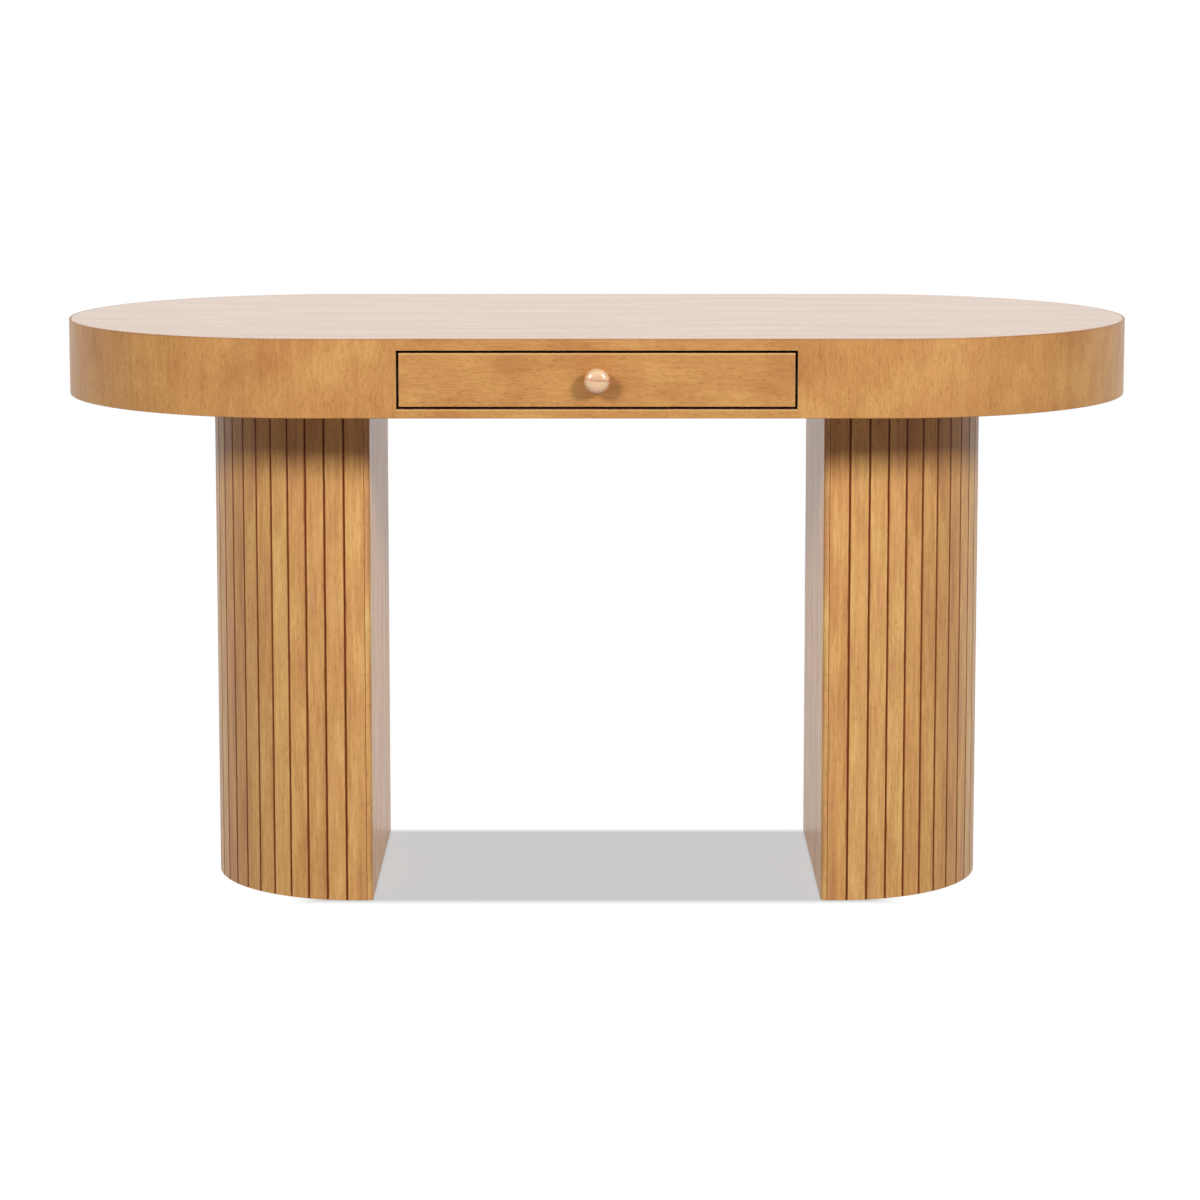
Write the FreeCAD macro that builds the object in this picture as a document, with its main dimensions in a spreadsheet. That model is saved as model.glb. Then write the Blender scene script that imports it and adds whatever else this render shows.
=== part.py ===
"""Console desk: an oval case with one inset drawer on two slatted D-shaped column legs.

Millimetres. +X is to the right of somebody who faces the drawer, +Y points to the back and +Z up.
The origin lies on the floor, in the middle of the desk's plan box with the knob included.
"""

import FreeCAD, Part
import Sketcher
import os
import re
import sys

# Driving sizes: alias, value and what it is
SIZES = [
    ("desk_width", 1400, "overall width"),
    ("desk_depth", 680, "overall depth, which is also the diameter of the round ends"),
    ("desk_height", 750, "overall height"),
    ("top_thickness", 15, "top panel"),
    ("core_height", 72, "free height between the top panel and the bottom panel"),
    ("bottom_thickness", 12, "bottom panel"),
    ("band_thickness", 3, "bent band round the whole case"),
    ("apron_thickness", 18, "end aprons, front rails and back rail"),
    ("guide_thickness", 18, "upright boards that carry the drawer slides"),
    ("front_rail_length", 112, "front rails, from the round end to the drawer opening"),
    ("reveal", 2.25, "gap all round the inset drawer front"),
    ("front_thickness", 18, "drawer front"),
    ("side_thickness", 12, "drawer sides and back"),
    ("side_height", 54, "drawer sides"),
    ("side_lift", 5, "drawer sides above the bottom panel"),
    ("side_length", 380, "drawer sides, front to back"),
    ("tray_thickness", 6, "drawer bottom"),
    ("tray_lift", 10, "drawer bottom above the lower edge of the drawer sides"),
    ("groove_depth", 6, "groove for the drawer bottom"),
    ("fit_clearance", 0.15, "play round screws, bolts, dowels and panels in grooves"),
    ("dowel_diameter", 6, "drawer dowels"),
    ("dowel_depth_long", 14, "dowel in end grain"),
    ("dowel_depth_short", 8, "dowel in the side or the back of the front"),
    ("dowel_edge", 10, "dowel centres from the edges of the joint"),
    ("knob_projection", 26, "knob, out from the drawer front"),
    ("knob_diameter", 32, "knob head"),
    ("knob_rim", 15, "widest place of the knob head, out from the drawer front"),
    ("knob_neck_diameter", 13, "knob neck"),
    ("knob_neck_reach", 5, "narrowest place of the knob, out from the drawer front"),
    ("knob_foot_diameter", 17, "knob foot"),
    ("knob_bore_depth", 15, "screw hole in the knob"),
    ("knob_screw_diameter", 4, "knob screw thread"),
    ("knob_screw_grip", 12, "knob screw in the knob"),
    ("screw_head_diameter", 8, "knob screw head"),
    ("screw_head_height", 2.4, "knob screw head"),
    ("slide_length", 350, "drawer slide, closed"),
    ("slide_set_back", 2, "drawer slide behind the drawer front"),
    ("slide_thickness", 12.7, "drawer slide, from guide to drawer side"),
    ("slide_height", 35, "cabinet rail of the slide"),
    ("slide_lift", 32, "middle of the slide above the bottom panel"),
    ("rail_gauge", 1.2, "sheet of the slide rails"),
    ("cabinet_flange", 10, "flanges of the cabinet rail"),
    ("ball_gap", 4, "free height between two nested flanges"),
    ("ball_diameter", 3.7, "slide balls"),
    ("mid_web_offset", 2.8, "web of the mid rail from the guide"),
    ("mid_flange", 8.2, "flanges of the mid rail"),
    ("inner_flange", 7.2, "flanges of the drawer rail"),
    ("cage_gauge", 0.6, "sheet of the ball cages"),
    ("outer_cage_offset", 1.7, "web of the outer ball cage from the guide"),
    ("inner_cage_offset", 4.5, "web of the inner ball cage from the guide"),
    ("outer_cage_flange", 7.4, "flanges of the outer ball cage"),
    ("inner_cage_flange", 6, "flanges of the inner ball cage"),
    ("cage_length", 150, "ball cages"),
    ("ball_count", 8, "balls in a row"),
    ("ball_pitch", 18, "balls along a row"),
    ("outer_ball_offset", 6.4, "outer balls from the guide"),
    ("inner_ball_offset", 8, "inner balls from the guide"),
    ("rail_screw_head", 6.6, "countersunk head of the rail screws"),
    ("rail_screw_diameter", 3.5, "rail screws"),
    ("rail_screw_taper", 2.4, "height of the countersunk head"),
    ("rail_screw_length", 10.5, "rail screws"),
    ("rail_screw_inset", 30, "outer rail screws from the ends of the rail"),
    ("leg_inset", 190, "outermost point of the legs from the end of the desk"),
    ("leg_radius", 196, "round side of the legs, over the slats"),
    ("leg_straight", 22.5, "straight stretch between the round side and the inner face"),
    ("slat_thickness", 8, "slats"),
    ("slat_gap", 1, "gap between two slats"),
    ("slat_chamfer", 1, "eased edges of the slats"),
    ("curved_slat_count", 25, "slats on the round side of a leg"),
    ("inner_slat_count", 15, "slats on the flat inner face of a leg"),
    ("leg_corner_radius", 7, "rounded corners beside the flat inner face"),
    ("skin_thickness", 6, "bent plywood skin under the slats"),
    ("panel_thickness", 12, "flat panel under the inner slats"),
    ("post_width", 20, "corner posts inside the legs"),
    ("plate_thickness", 18, "plates and formers inside the legs"),
    ("hand_hole_diameter", 140, "hole in the formers through which the bolts are reached"),
    ("hand_hole_offset", 80, "middle of that hole, out from the middle of the round side"),
    ("mid_former_height", 316, "mid former above the lower edge of the leg"),
    ("glide_proud", 2, "glides below the legs"),
    ("glide_diameter", 22, "glides"),
    ("glide_nail_diameter", 2.6, "nail of a glide"),
    ("glide_nail_length", 13, "nail of a glide"),
    ("glide_inner_reach", 152, "glides beside the flat face, from the middle of the leg"),
    ("glide_outer_reach", 104, "glides beside the round side, from the middle of the leg"),
    ("glide_outer_offset", 128, "glides beside the round side, out from its middle"),
    ("bolt_diameter", 8, "leg bolts"),
    ("bolt_length", 48, "leg bolts under the head"),
    ("bolt_head_diameter", 13, "leg bolts"),
    ("bolt_head_height", 5.3, "leg bolts"),
    ("bolt_pattern_width", 90, "leg bolts, left to right"),
    ("bolt_pattern_length", 220, "leg bolts, front to back"),
    ("bolt_offset", 71, "middle of the bolt pattern, out from the middle of the round side"),
    ("bolt_hole_play", 1, "play of the bolts in the panels"),
    ("washer_diameter", 20, "washers"),
    ("washer_thickness", 1.6, "washers"),
    ("insert_diameter", 12, "threaded inserts"),
    ("insert_length", 20, "threaded inserts"),
    ("batten_width", 30, "battens that take the inserts"),
    ("batten_length", 300, "battens that take the inserts"),
    ("cut_overrun", 2, "how far a cutter reaches past what it cuts"),
]

# Places that follow from the sizes. Y is counted from the middle of the desk's plan.
PLACES = {
    "plan_middle": "knob_projection / 2",
    "end_middle": "(desk_width - desk_depth) / 2",
    "case_radius": "desk_depth / 2",
    "panel_radius": "case_radius - band_thickness",
    "apron_radius": "panel_radius - apron_thickness",
    "top_base": "desk_height - top_thickness",
    "core_base": "top_base - core_height",
    "case_base": "core_base - bottom_thickness",
    "case_height": "desk_height - case_base",
    "opening_half": "end_middle - front_rail_length",
    "front_half": "opening_half - reveal",
    "front_face": "-case_radius",
    "front_back": "front_face + front_thickness",
    "front_base": "core_base + reveal",
    "front_height": "core_height - 2 * reveal",
    "side_outer": "opening_half - slide_thickness",
    "side_inner": "side_outer - side_thickness",
    "side_base": "core_base + side_lift",
    "side_top": "side_base + side_height",
    "tray_base": "side_base + tray_lift",
    "tray_top": "tray_base + tray_thickness",
    "box_end": "front_back + side_length",
    "back_front": "box_end - side_thickness",
    "knob_level": "core_base + core_height / 2",
    "slide_level": "core_base + slide_lift",
    "slide_front": "front_back + slide_set_back",
    "slide_middle": "slide_front + slide_length / 2",
    "slide_half": "slide_height / 2",
    "cabinet_inner": "slide_half - rail_gauge",
    "mid_outer": "cabinet_inner - ball_gap",
    "mid_inner": "mid_outer - rail_gauge",
    "drawer_rail_outer": "mid_inner - ball_gap",
    "outer_ball_level": "cabinet_inner - ball_gap / 2",
    "inner_ball_level": "mid_inner - ball_gap / 2",
    "leg_middle": "desk_width / 2 - leg_inset - leg_radius",
    "leg_base": "glide_proud",
    "leg_height": "case_base - leg_base",
    "skin_radius": "leg_radius - slat_thickness",
    "plate_radius": "skin_radius - skin_thickness",
    "panel_face": "slat_thickness - leg_straight",
    "panel_back": "panel_face + panel_thickness",
    "post_side": "panel_back + post_width",
    "post_outer": "sqrt(plate_radius ^ 2 - post_side ^ 2)",
    "post_inner": "post_outer - post_width",
    "slat_run": "2 * -panel_face + pi * leg_radius",
    "slat_pitch": "slat_run / curved_slat_count",
    "slat_turn": "slat_pitch / leg_radius * 180 / pi",
    "arc_slat_count": "curved_slat_count - 2",
    "slat_sweep": "slat_turn * (arc_slat_count - 1)",
    "slat_outer_half": "leg_radius * sin(slat_turn / 2) - slat_gap / 2",
    "slat_inner_half": "skin_radius * sin(slat_turn / 2) - slat_gap / 2",
    "slat_face": "leg_radius * cos(slat_turn / 2)",
    "end_slat_reach": "leg_radius * sin(90 - slat_sweep / 2 - slat_turn / 2)",
    "inner_pitch": "2 * leg_radius / inner_slat_count",
    "top_plate_base": "case_base - plate_thickness",
    "mid_former_base": "leg_base + mid_former_height",
    "washer_base": "top_plate_base - washer_thickness",
    "bolt_middle": "leg_middle + bolt_offset",
    "bolt_hole_radius": "(bolt_diameter + bolt_hole_play) / 2",
}

doc = FreeCAD.newDocument("ConsoleDesk")
sheet = doc.addObject("Spreadsheet::Sheet", "Sizes")
for row, (alias, amount, meaning) in enumerate(SIZES, start=1):
    sheet.set("A%d" % row, meaning)
    sheet.set("B%d" % row, str(amount))
    sheet.setAlias("B%d" % row, alias)
doc.recompute()

SIZE_NAMES = {alias for alias, amount, meaning in SIZES}
RIGHT_SIDE = FreeCAD.Vector(1, 0, 0)
BACKWARD = FreeCAD.Vector(0, 1, 0)
UPWARD = FreeCAD.Vector(0, 0, 1)
FULL_TURN = 360
SKETCH_ORIGIN = (-1, 1)
START_VERTEX, END_VERTEX, CENTRE_VERTEX = 1, 2, 3
TURNED_TO = {
    "x": FreeCAD.Rotation(UPWARD, RIGHT_SIDE),
    "-x": FreeCAD.Rotation(UPWARD, -RIGHT_SIDE),
    "y": FreeCAD.Rotation(UPWARD, BACKWARD),
    "-y": FreeCAD.Rotation(UPWARD, -BACKWARD),
    "z": FreeCAD.Rotation(),
}
pieces = []


def spelt(text):
    """An expression in which every size and every derived place is spelt out for the sheet."""

    def spell(match):
        word = match.group(0)
        if word in PLACES:
            return "(" + spelt(PLACES[word]) + ")"
        if word in SIZE_NAMES:
            return "Sizes." + word
        return word

    return re.sub(r"[a-z][a-z_]+", spell, text)


def amount_of(text):
    """The number that an expression gives now, for the first draft of a sketch."""
    return float(sheet.evalExpression(spelt(text)))


def bind(item, prop, text):
    item.setExpression(prop, spelt(text))


def place(item, corner):
    """Put an object at x, y, z, with y counted from the middle of the plan."""
    across, along, level = corner
    bind(item, "Placement.Base.x", across)
    bind(item, "Placement.Base.y", "plan_middle + " + along)
    bind(item, "Placement.Base.z", level)


def keep(item, name):
    """Give a finished piece its name and put it on the list of pieces."""
    item.Label = name
    pieces.append(item)
    return item


def block(name, lengths, corner):
    """A box with its low corner at corner."""
    item = doc.addObject("Part::Box", name)
    for prop, text in zip(("Length", "Width", "Height"), lengths):
        bind(item, prop, text)
    place(item, corner)
    return item


def rod(name, radius, length, start, towards="z"):
    """A cylinder that runs from its start point along an axis."""
    item = doc.addObject("Part::Cylinder", name)
    bind(item, "Radius", radius)
    bind(item, "Height", length)
    item.Placement = FreeCAD.Placement(FreeCAD.Vector(), TURNED_TO[towards])
    place(item, start)
    return item


def taper(name, first_radius, last_radius, length, start, towards="z"):
    """A cone that runs from its start point along an axis."""
    item = doc.addObject("Part::Cone", name)
    bind(item, "Radius1", first_radius)
    bind(item, "Radius2", last_radius)
    bind(item, "Height", length)
    item.Placement = FreeCAD.Placement(FreeCAD.Vector(), TURNED_TO[towards])
    place(item, start)
    return item


def group(name, members):
    item = doc.addObject("Part::Compound", name)
    item.Links = members
    return item


def fused(name, members):
    item = doc.addObject("Part::MultiFuse", name)
    item.Shapes = members
    return item


def cut(name, base, cutters):
    item = doc.addObject("Part::Cut", name)
    item.Base = base
    item.Tool = cutters[0] if len(cutters) == 1 else group(name + "_cutters", cutters)
    return item


def mirrored(name, source):
    """The left-hand twin of a right-hand piece."""
    item = doc.addObject("Part::Mirroring", name)
    item.Source = source
    item.Normal = RIGHT_SIDE
    return item


def both_sides(name, build):
    """Build a right-hand piece by its function and keep it with its left-hand twin."""
    right = keep(build(name + "_right"), name + "_right")
    keep(mirrored(name + "_left", right), name + "_left")
    return right


def origin_part(body, role):
    return next(part for part in body.Origin.OriginFeatures if part.Role == role)


def new_body(name, corner):
    body = doc.addObject("PartDesign::Body", name)
    body.AllowCompound = True
    place(body, corner)
    return body


def outline(body, role, path, holes=()):
    """A closed sketch on one of the body's origin planes, with every corner bound to the sheet.

    A step of the path is a corner (x, y), which a straight side leaves, or (x, y, cx, cy, turn),
    which an arc about (cx, cy) leaves: anticlockwise for a turn of 1 and clockwise for -1.
    A hole is (x, y, radius).
    """
    sketch = body.newObject("Sketcher::SketchObject", body.Name + "_outline")
    sketch.AttachmentSupport = [(origin_part(body, role), "")]
    sketch.MapMode = "FlatFace"
    corners = [FreeCAD.Vector(amount_of(step[0]), amount_of(step[1]), 0) for step in path]
    vertices = []
    for index, step in enumerate(path):
        start = corners[index]
        end = corners[(index + 1) % len(path)]
        if len(step) == 2:
            sketch.addGeometry(Part.LineSegment(start, end), False)
            vertices.append((START_VERTEX, END_VERTEX))
            continue
        centre = FreeCAD.Vector(amount_of(step[2]), amount_of(step[3]), 0)
        anticlockwise = step[-1] > 0
        first, last = (start, end) if anticlockwise else (end, start)
        circle = Part.Circle(centre, UPWARD, (start - centre).Length)
        arc = Part.ArcOfCircle(circle, circle.parameter(first), circle.parameter(last))
        sketch.addGeometry(arc, False)
        vertices.append((START_VERTEX, END_VERTEX) if anticlockwise else (END_VERTEX, START_VERTEX))

    def measured(kind, side, vertex, text):
        rule = Sketcher.Constraint(kind, *SKETCH_ORIGIN, side, vertex, amount_of(text))
        bind(sketch, "Constraints[%d]" % sketch.addConstraint(rule), text)

    for index, step in enumerate(path):
        following = (index + 1) % len(path)
        joint = Sketcher.Constraint(
            "Coincident", index, vertices[index][1], following, vertices[following][0]
        )
        sketch.addConstraint(joint)
        measured("DistanceX", index, vertices[index][0], step[0])
        measured("DistanceY", index, vertices[index][0], step[1])
        if len(step) > 2:
            chord = corners[following] - corners[index]
            upright = abs(chord.y) >= abs(chord.x)
            kind, text = ("DistanceX", step[2]) if upright else ("DistanceY", step[3])
            measured(kind, index, CENTRE_VERTEX, text)
    for across, along, radius in holes:
        centre = FreeCAD.Vector(amount_of(across), amount_of(along), 0)
        side = sketch.addGeometry(Part.Circle(centre, UPWARD, amount_of(radius)), False)
        measured("DistanceX", side, CENTRE_VERTEX, across)
        measured("DistanceY", side, CENTRE_VERTEX, along)
        ring = Sketcher.Constraint("Radius", side, amount_of(radius))
        bind(sketch, "Constraints[%d]" % sketch.addConstraint(ring), radius)
    return sketch


def pad(body, sketch, length, reversed_way=False):
    feature = body.newObject("PartDesign::Pad", body.Name + "_pad")
    feature.Profile = sketch
    feature.Reversed = reversed_way
    bind(feature, "Length", length)
    sketch.Visibility = False
    return feature


def plate(name, corner, path, thickness, holes=()):
    """A flat board: an outline in plan, padded upwards."""
    body = new_body(name, corner)
    pad(body, outline(body, "XY_Plane", path, holes), thickness)
    return body


def profile(name, corner, path, length):
    """A straight profile: an outline seen from the front, padded to the back."""
    body = new_body(name, corner)
    pad(body, outline(body, "XZ_Plane", path), length, reversed_way=True)
    return body


def stadium(radius):
    """The outline of a board with two round ends."""
    return [
        ("-end_middle", "-(%s)" % radius),
        ("end_middle", "-(%s)" % radius, "end_middle", "0", 1),
        ("end_middle", radius),
        ("-end_middle", radius, "-end_middle", "0", 1),
    ]


def bolt_places():
    """The x and y of the four bolts of the right-hand leg."""
    places = []
    for across in ("-bolt_pattern_width / 2", "bolt_pattern_width / 2"):
        for along in ("-bolt_pattern_length / 2", "bolt_pattern_length / 2"):
            places.append(("bolt_middle + " + across, along))
    return places


# Case

def top_panel():
    return plate("top_panel", ("0", "0", "top_base"), stadium("panel_radius"), "top_thickness")


def bottom_panel():
    holes = []
    for across, along in bolt_places():
        holes.append((across, along, "bolt_hole_radius"))
        holes.append(("-(%s)" % across, along, "bolt_hole_radius"))
    corner = ("0", "0", "case_base")
    return plate("bottom_panel", corner, stadium("panel_radius"), "bottom_thickness", holes)


def edge_band():
    """A thin band round the whole case, with the hole for the drawer front in it."""
    corner = ("0", "0", "case_base")
    outer = plate("band_outer", corner, stadium("case_radius"), "case_height")
    inner_corner = ("0", "0", "case_base - cut_overrun")
    inner = plate("band_inner", inner_corner, stadium("panel_radius"), "case_height + 2 * cut_overrun")
    hole = block(
        "band_hole",
        ("2 * opening_half", "band_thickness + 2 * cut_overrun", "core_height"),
        ("-opening_half", "front_face - cut_overrun", "core_base"),
    )
    return cut("edge_band", outer, [inner, hole])


def end_apron(name):
    """A bent half ring between the two panels, at the round end of the case."""
    path = [
        ("0", "-panel_radius", "0", "0", 1),
        ("0", "panel_radius"),
        ("0", "apron_radius", "0", "0", -1),
        ("0", "-apron_radius"),
    ]
    return plate(name, ("end_middle", "0", "core_base"), path, "core_height")


def front_rail(name):
    lengths = ("front_rail_length", "apron_thickness", "core_height")
    return block(name, lengths, ("opening_half", "-panel_radius", "core_base"))


def back_rail():
    lengths = ("2 * end_middle", "apron_thickness", "core_height")
    return block("back_rail", lengths, ("-end_middle", "apron_radius", "core_base"))


def leg_battens(name):
    """Two blocks between the panels, drilled from below for the threaded inserts."""
    blocks = []
    for index, side in enumerate(("-", "")):
        middle = "bolt_middle + %sbolt_pattern_width / 2" % side
        raw = block(
            "%s_block_%d" % (name, index),
            ("batten_width", "batten_length", "core_height"),
            (middle + " - batten_width / 2", "-batten_length / 2", "core_base"),
        )
        blocks.append(raw)
    drills = []
    for index, (across, along) in enumerate(bolt_places()):
        drill = rod(
            "%s_drill_%d" % (name, index),
            "insert_diameter / 2 + fit_clearance",
            "insert_length + cut_overrun",
            (across, along, "core_base - cut_overrun"),
        )
        drills.append(drill)
    return cut(name, group(name + "_blocks", blocks), drills)


def threaded_inserts():
    """Threaded sleeves in the battens of both legs."""
    sleeves = []
    for index, (across, along) in enumerate(bolt_places()):
        start = (across, along, "core_base")
        sleeve = rod("insert_%d" % index, "insert_diameter / 2", "insert_length", start)
        bore = rod("insert_bore_%d" % index, "bolt_diameter / 2 + fit_clearance", "insert_length", start)
        right = cut("insert_sleeve_%d" % index, sleeve, [bore])
        sleeves.append(right)
        sleeves.append(mirrored("insert_twin_%d" % index, right))
    return group("threaded_inserts", sleeves)


# Drawer slides, right-hand side. A profile is drawn from the face of the guide towards the drawer.

SLIDE_CORNER = ("opening_half", "slide_front", "slide_level")


def channel(near, far, half_height, gauge, open_way="+"):
    """A channel section with its web at near and its flanges running to far, both from the guide.

    It opens towards the drawer, or with an open_way of - towards the guide.
    """
    web_side = "%s %s %s" % (near, open_way, gauge)
    inner = "%s - %s" % (half_height, gauge)
    corners = [
        (near, "-(%s)" % half_height),
        (far, "-(%s)" % half_height),
        (far, "-(%s)" % inner),
        (web_side, "-(%s)" % inner),
        (web_side, inner),
        (far, inner),
        (far, half_height),
        (near, half_height),
    ]
    return [("-(%s)" % across, level) for across, level in corners]


def rail_screw_offsets():
    """Distances of the rail screws from the middle of the slide."""
    outer = "slide_length / 2 - rail_screw_inset"
    return ("rail_screw_inset - slide_length / 2", "0", outer)


def rail_screw(name, offset, level_x, towards, extra="0"):
    """A countersunk screw: a tapered head and a shank. Extra makes it larger all over, as a cutter."""
    start = (level_x, "slide_middle + " + offset, "slide_level")
    head = taper(
        name + "_head",
        "rail_screw_head / 2 + " + extra,
        "rail_screw_diameter / 2 + " + extra,
        "rail_screw_taper",
        start,
        towards,
    )
    shank = rod(
        name + "_shank",
        "rail_screw_diameter / 2 + " + extra,
        "rail_screw_length + " + extra,
        start,
        towards,
    )
    return fused(name, [head, shank])


def screw_row(name, level_x, towards, extra="0"):
    screws = []
    for index, offset in enumerate(rail_screw_offsets()):
        screws.append(rail_screw("%s_%d" % (name, index), offset, level_x, towards, extra))
    return screws


CABINET_SCREW_FACE = "opening_half - rail_gauge"
DRAWER_SCREW_FACE = "side_outer + rail_gauge"


def cabinet_screw_cutters(name):
    return screw_row(name + "_drill", CABINET_SCREW_FACE, "x", "fit_clearance")


def drawer_screw_cutters(name):
    return screw_row(name + "_drill", DRAWER_SCREW_FACE, "-x", "fit_clearance")


def drawer_guide(name):
    """The upright board beside the drawer that carries the cabinet rail."""
    lengths = ("guide_thickness", "2 * apron_radius", "core_height")
    raw = block(name + "_board", lengths, ("opening_half", "-apron_radius", "core_base"))
    return cut(name, raw, cabinet_screw_cutters(name))


def cabinet_rail(name):
    path = channel("0", "cabinet_flange", "slide_half", "rail_gauge")
    raw = profile(name + "_channel", SLIDE_CORNER, path, "slide_length")
    return cut(name, raw, cabinet_screw_cutters(name))


def mid_rail(name):
    far = "mid_web_offset + mid_flange"
    path = channel("mid_web_offset", far, "mid_outer", "rail_gauge")
    return profile(name, SLIDE_CORNER, path, "slide_length")


def drawer_rail(name):
    far = "slide_thickness - inner_flange"
    path = channel("slide_thickness", far, "drawer_rail_outer", "rail_gauge", open_way="-")
    raw = profile(name + "_channel", SLIDE_CORNER, path, "slide_length")
    return cut(name, raw, drawer_screw_cutters(name))


def cabinet_rail_screws():
    right = screw_row("cabinet_screw", CABINET_SCREW_FACE, "x")
    left = [mirrored(screw.Name + "_twin", screw) for screw in right]
    return group("cabinet_rail_screws", right + left)


def drawer_rail_screws():
    right = screw_row("drawer_screw", DRAWER_SCREW_FACE, "-x")
    left = [mirrored(screw.Name + "_twin", screw) for screw in right]
    return group("drawer_rail_screws", right + left)


def ball_offsets():
    """Distances of the balls of a row from the middle of the slide."""
    count = int(amount_of("ball_count"))
    return ["ball_pitch * %s" % (index - (count - 1) / 2) for index in range(count)]


def ball_cage(name, offset, flange, level, ball_offset):
    """A thin channel that holds two rows of balls in holes in its flanges."""
    half_height = level + " + cage_gauge / 2"
    path = channel(offset, "%s + %s" % (offset, flange), half_height, "cage_gauge")
    corner = ("opening_half", "slide_middle - cage_length / 2", "slide_level")
    raw = profile(name + "_channel", corner, path, "cage_length")
    drills = []
    for index, along in enumerate(ball_offsets()):
        drill = rod(
            "%s_hole_%d" % (name, index),
            "ball_diameter / 2 + fit_clearance",
            "slide_height",
            ("opening_half - " + ball_offset, "slide_middle + " + along, "slide_level - slide_half"),
        )
        drills.append(drill)
    return cut(name, raw, drills)


def outer_ball_cage(name):
    offset = "outer_cage_offset"
    return ball_cage(name, offset, "outer_cage_flange", "outer_ball_level", "outer_ball_offset")


def inner_ball_cage(name):
    offset = "inner_cage_offset"
    return ball_cage(name, offset, "inner_cage_flange", "inner_ball_level", "inner_ball_offset")


def ball_rows(name, level, ball_offset):
    """The balls of one cage: a row above and a row below."""
    balls = []
    for side in ("-", ""):
        for along in ball_offsets():
            ball = doc.addObject("Part::Sphere", "%s_ball" % name)
            bind(ball, "Radius", "ball_diameter / 2")
            across = "opening_half - " + ball_offset
            place(ball, (across, "slide_middle + " + along, "slide_level + %s%s" % (side, level)))
            balls.append(ball)
    return group(name, balls)


def outer_balls(name):
    return ball_rows(name, "outer_ball_level", "outer_ball_offset")


def inner_balls(name):
    return ball_rows(name, "inner_ball_level", "inner_ball_offset")


# Drawer

def dowel_levels():
    """Heights of the dowels in a corner joint of the drawer."""
    return ("tray_top + dowel_edge", "side_top - dowel_edge")


def corner_dowels(name, extra="0"):
    """Dowels of the right-hand corners: into the front along Y and into the back along X."""
    radius = "dowel_diameter / 2 + " + extra
    length = "dowel_depth_long + dowel_depth_short + 2 * " + extra
    side_middle = "side_outer - side_thickness / 2"
    dowels = []
    for index, level in enumerate(dowel_levels()):
        front_start = (side_middle, "front_back - dowel_depth_short - " + extra, level)
        dowels.append(rod("%s_front_%d" % (name, index), radius, length, front_start, "y"))
        back_start = (
            "side_inner + dowel_depth_short + " + extra,
            "box_end - side_thickness / 2",
            level,
        )
        dowels.append(rod("%s_back_%d" % (name, index), radius, length, back_start, "-x"))
    return dowels


def dowel_cutters(name):
    """Dowel holes of both sides, a little larger than the dowels."""
    right = corner_dowels(name + "_drill", "fit_clearance")
    return right + [mirrored(drill.Name + "_twin", drill) for drill in right]


def drawer_dowels():
    right = corner_dowels("dowel")
    return group("drawer_dowels", right + [mirrored(dowel.Name + "_twin", dowel) for dowel in right])


def tray_slot(name):
    """The space that the drawer bottom takes, as a cutter for its grooves."""
    return block(
        name,
        (
            "2 * (side_inner + groove_depth)",
            "groove_depth + side_length + cut_overrun",
            "tray_thickness",
        ),
        ("-side_inner - groove_depth", "front_back - groove_depth", "tray_base"),
    )


def drawer_front():
    raw = block(
        "front_board",
        ("2 * front_half", "front_thickness", "front_height"),
        ("-front_half", "front_face", "front_base"),
    )
    hole = rod(
        "front_knob_hole",
        "knob_screw_diameter / 2 + fit_clearance",
        "front_thickness + 2 * cut_overrun",
        ("0", "front_face - cut_overrun", "knob_level"),
        "y",
    )
    cutters = [hole, tray_slot("front_groove")] + dowel_cutters("front")
    return cut("drawer_front", raw, cutters)


def drawer_side(name):
    raw = block(
        name + "_board",
        ("side_thickness", "side_length", "side_height"),
        ("side_inner", "front_back", "side_base"),
    )
    cutters = [tray_slot(name + "_groove")] + dowel_cutters(name) + drawer_screw_cutters(name)
    return cut(name, raw, cutters)


def drawer_back():
    raw = block(
        "back_board",
        ("2 * side_inner", "side_thickness", "side_top - tray_top"),
        ("-side_inner", "back_front", "tray_top"),
    )
    return cut("drawer_back", raw, dowel_cutters("back"))


def drawer_bottom():
    return block(
        "drawer_bottom",
        (
            "2 * (side_inner + groove_depth - fit_clearance)",
            "groove_depth + side_length - fit_clearance",
            "tray_thickness",
        ),
        (
            "-side_inner - groove_depth + fit_clearance",
            "front_back - groove_depth + fit_clearance",
            "tray_base",
        ),
    )


def drawer_knob():
    """A turned mushroom knob. Its profile is drawn with the drawer front at y = 0."""
    head = "knob_diameter / 2"
    neck = "knob_neck_diameter / 2"
    bore = "knob_screw_diameter / 2 + fit_clearance"
    dome = "(knob_projection ^ 2 - knob_rim ^ 2 - (%s) ^ 2) / (2 * (knob_projection - knob_rim))" % head
    path = [
        (bore, "0"),
        (bore, "-knob_bore_depth"),
        ("0", "-knob_bore_depth"),
        ("0", "-knob_projection", "0", "-(%s)" % dome, 1),
        (head, "-knob_rim"),
        (neck, "-knob_neck_reach"),
        ("knob_foot_diameter / 2", "0"),
    ]
    body = new_body("drawer_knob", ("0", "front_face", "knob_level"))
    sketch = outline(body, "XY_Plane", path)
    turned = body.newObject("PartDesign::Revolution", "knob_turning")
    turned.Profile = sketch
    turned.ReferenceAxis = (origin_part(body, "Y_Axis"), [""])
    turned.Angle = FULL_TURN
    sketch.Visibility = False
    return body


def knob_screw():
    head = rod(
        "knob_screw_head",
        "screw_head_diameter / 2",
        "screw_head_height",
        ("0", "front_back", "knob_level"),
        "y",
    )
    shank = rod(
        "knob_screw_shank",
        "knob_screw_diameter / 2",
        "front_thickness + knob_screw_grip",
        ("0", "front_back", "knob_level"),
        "-y",
    )
    return fused("knob_screw", [head, shank])


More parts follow.
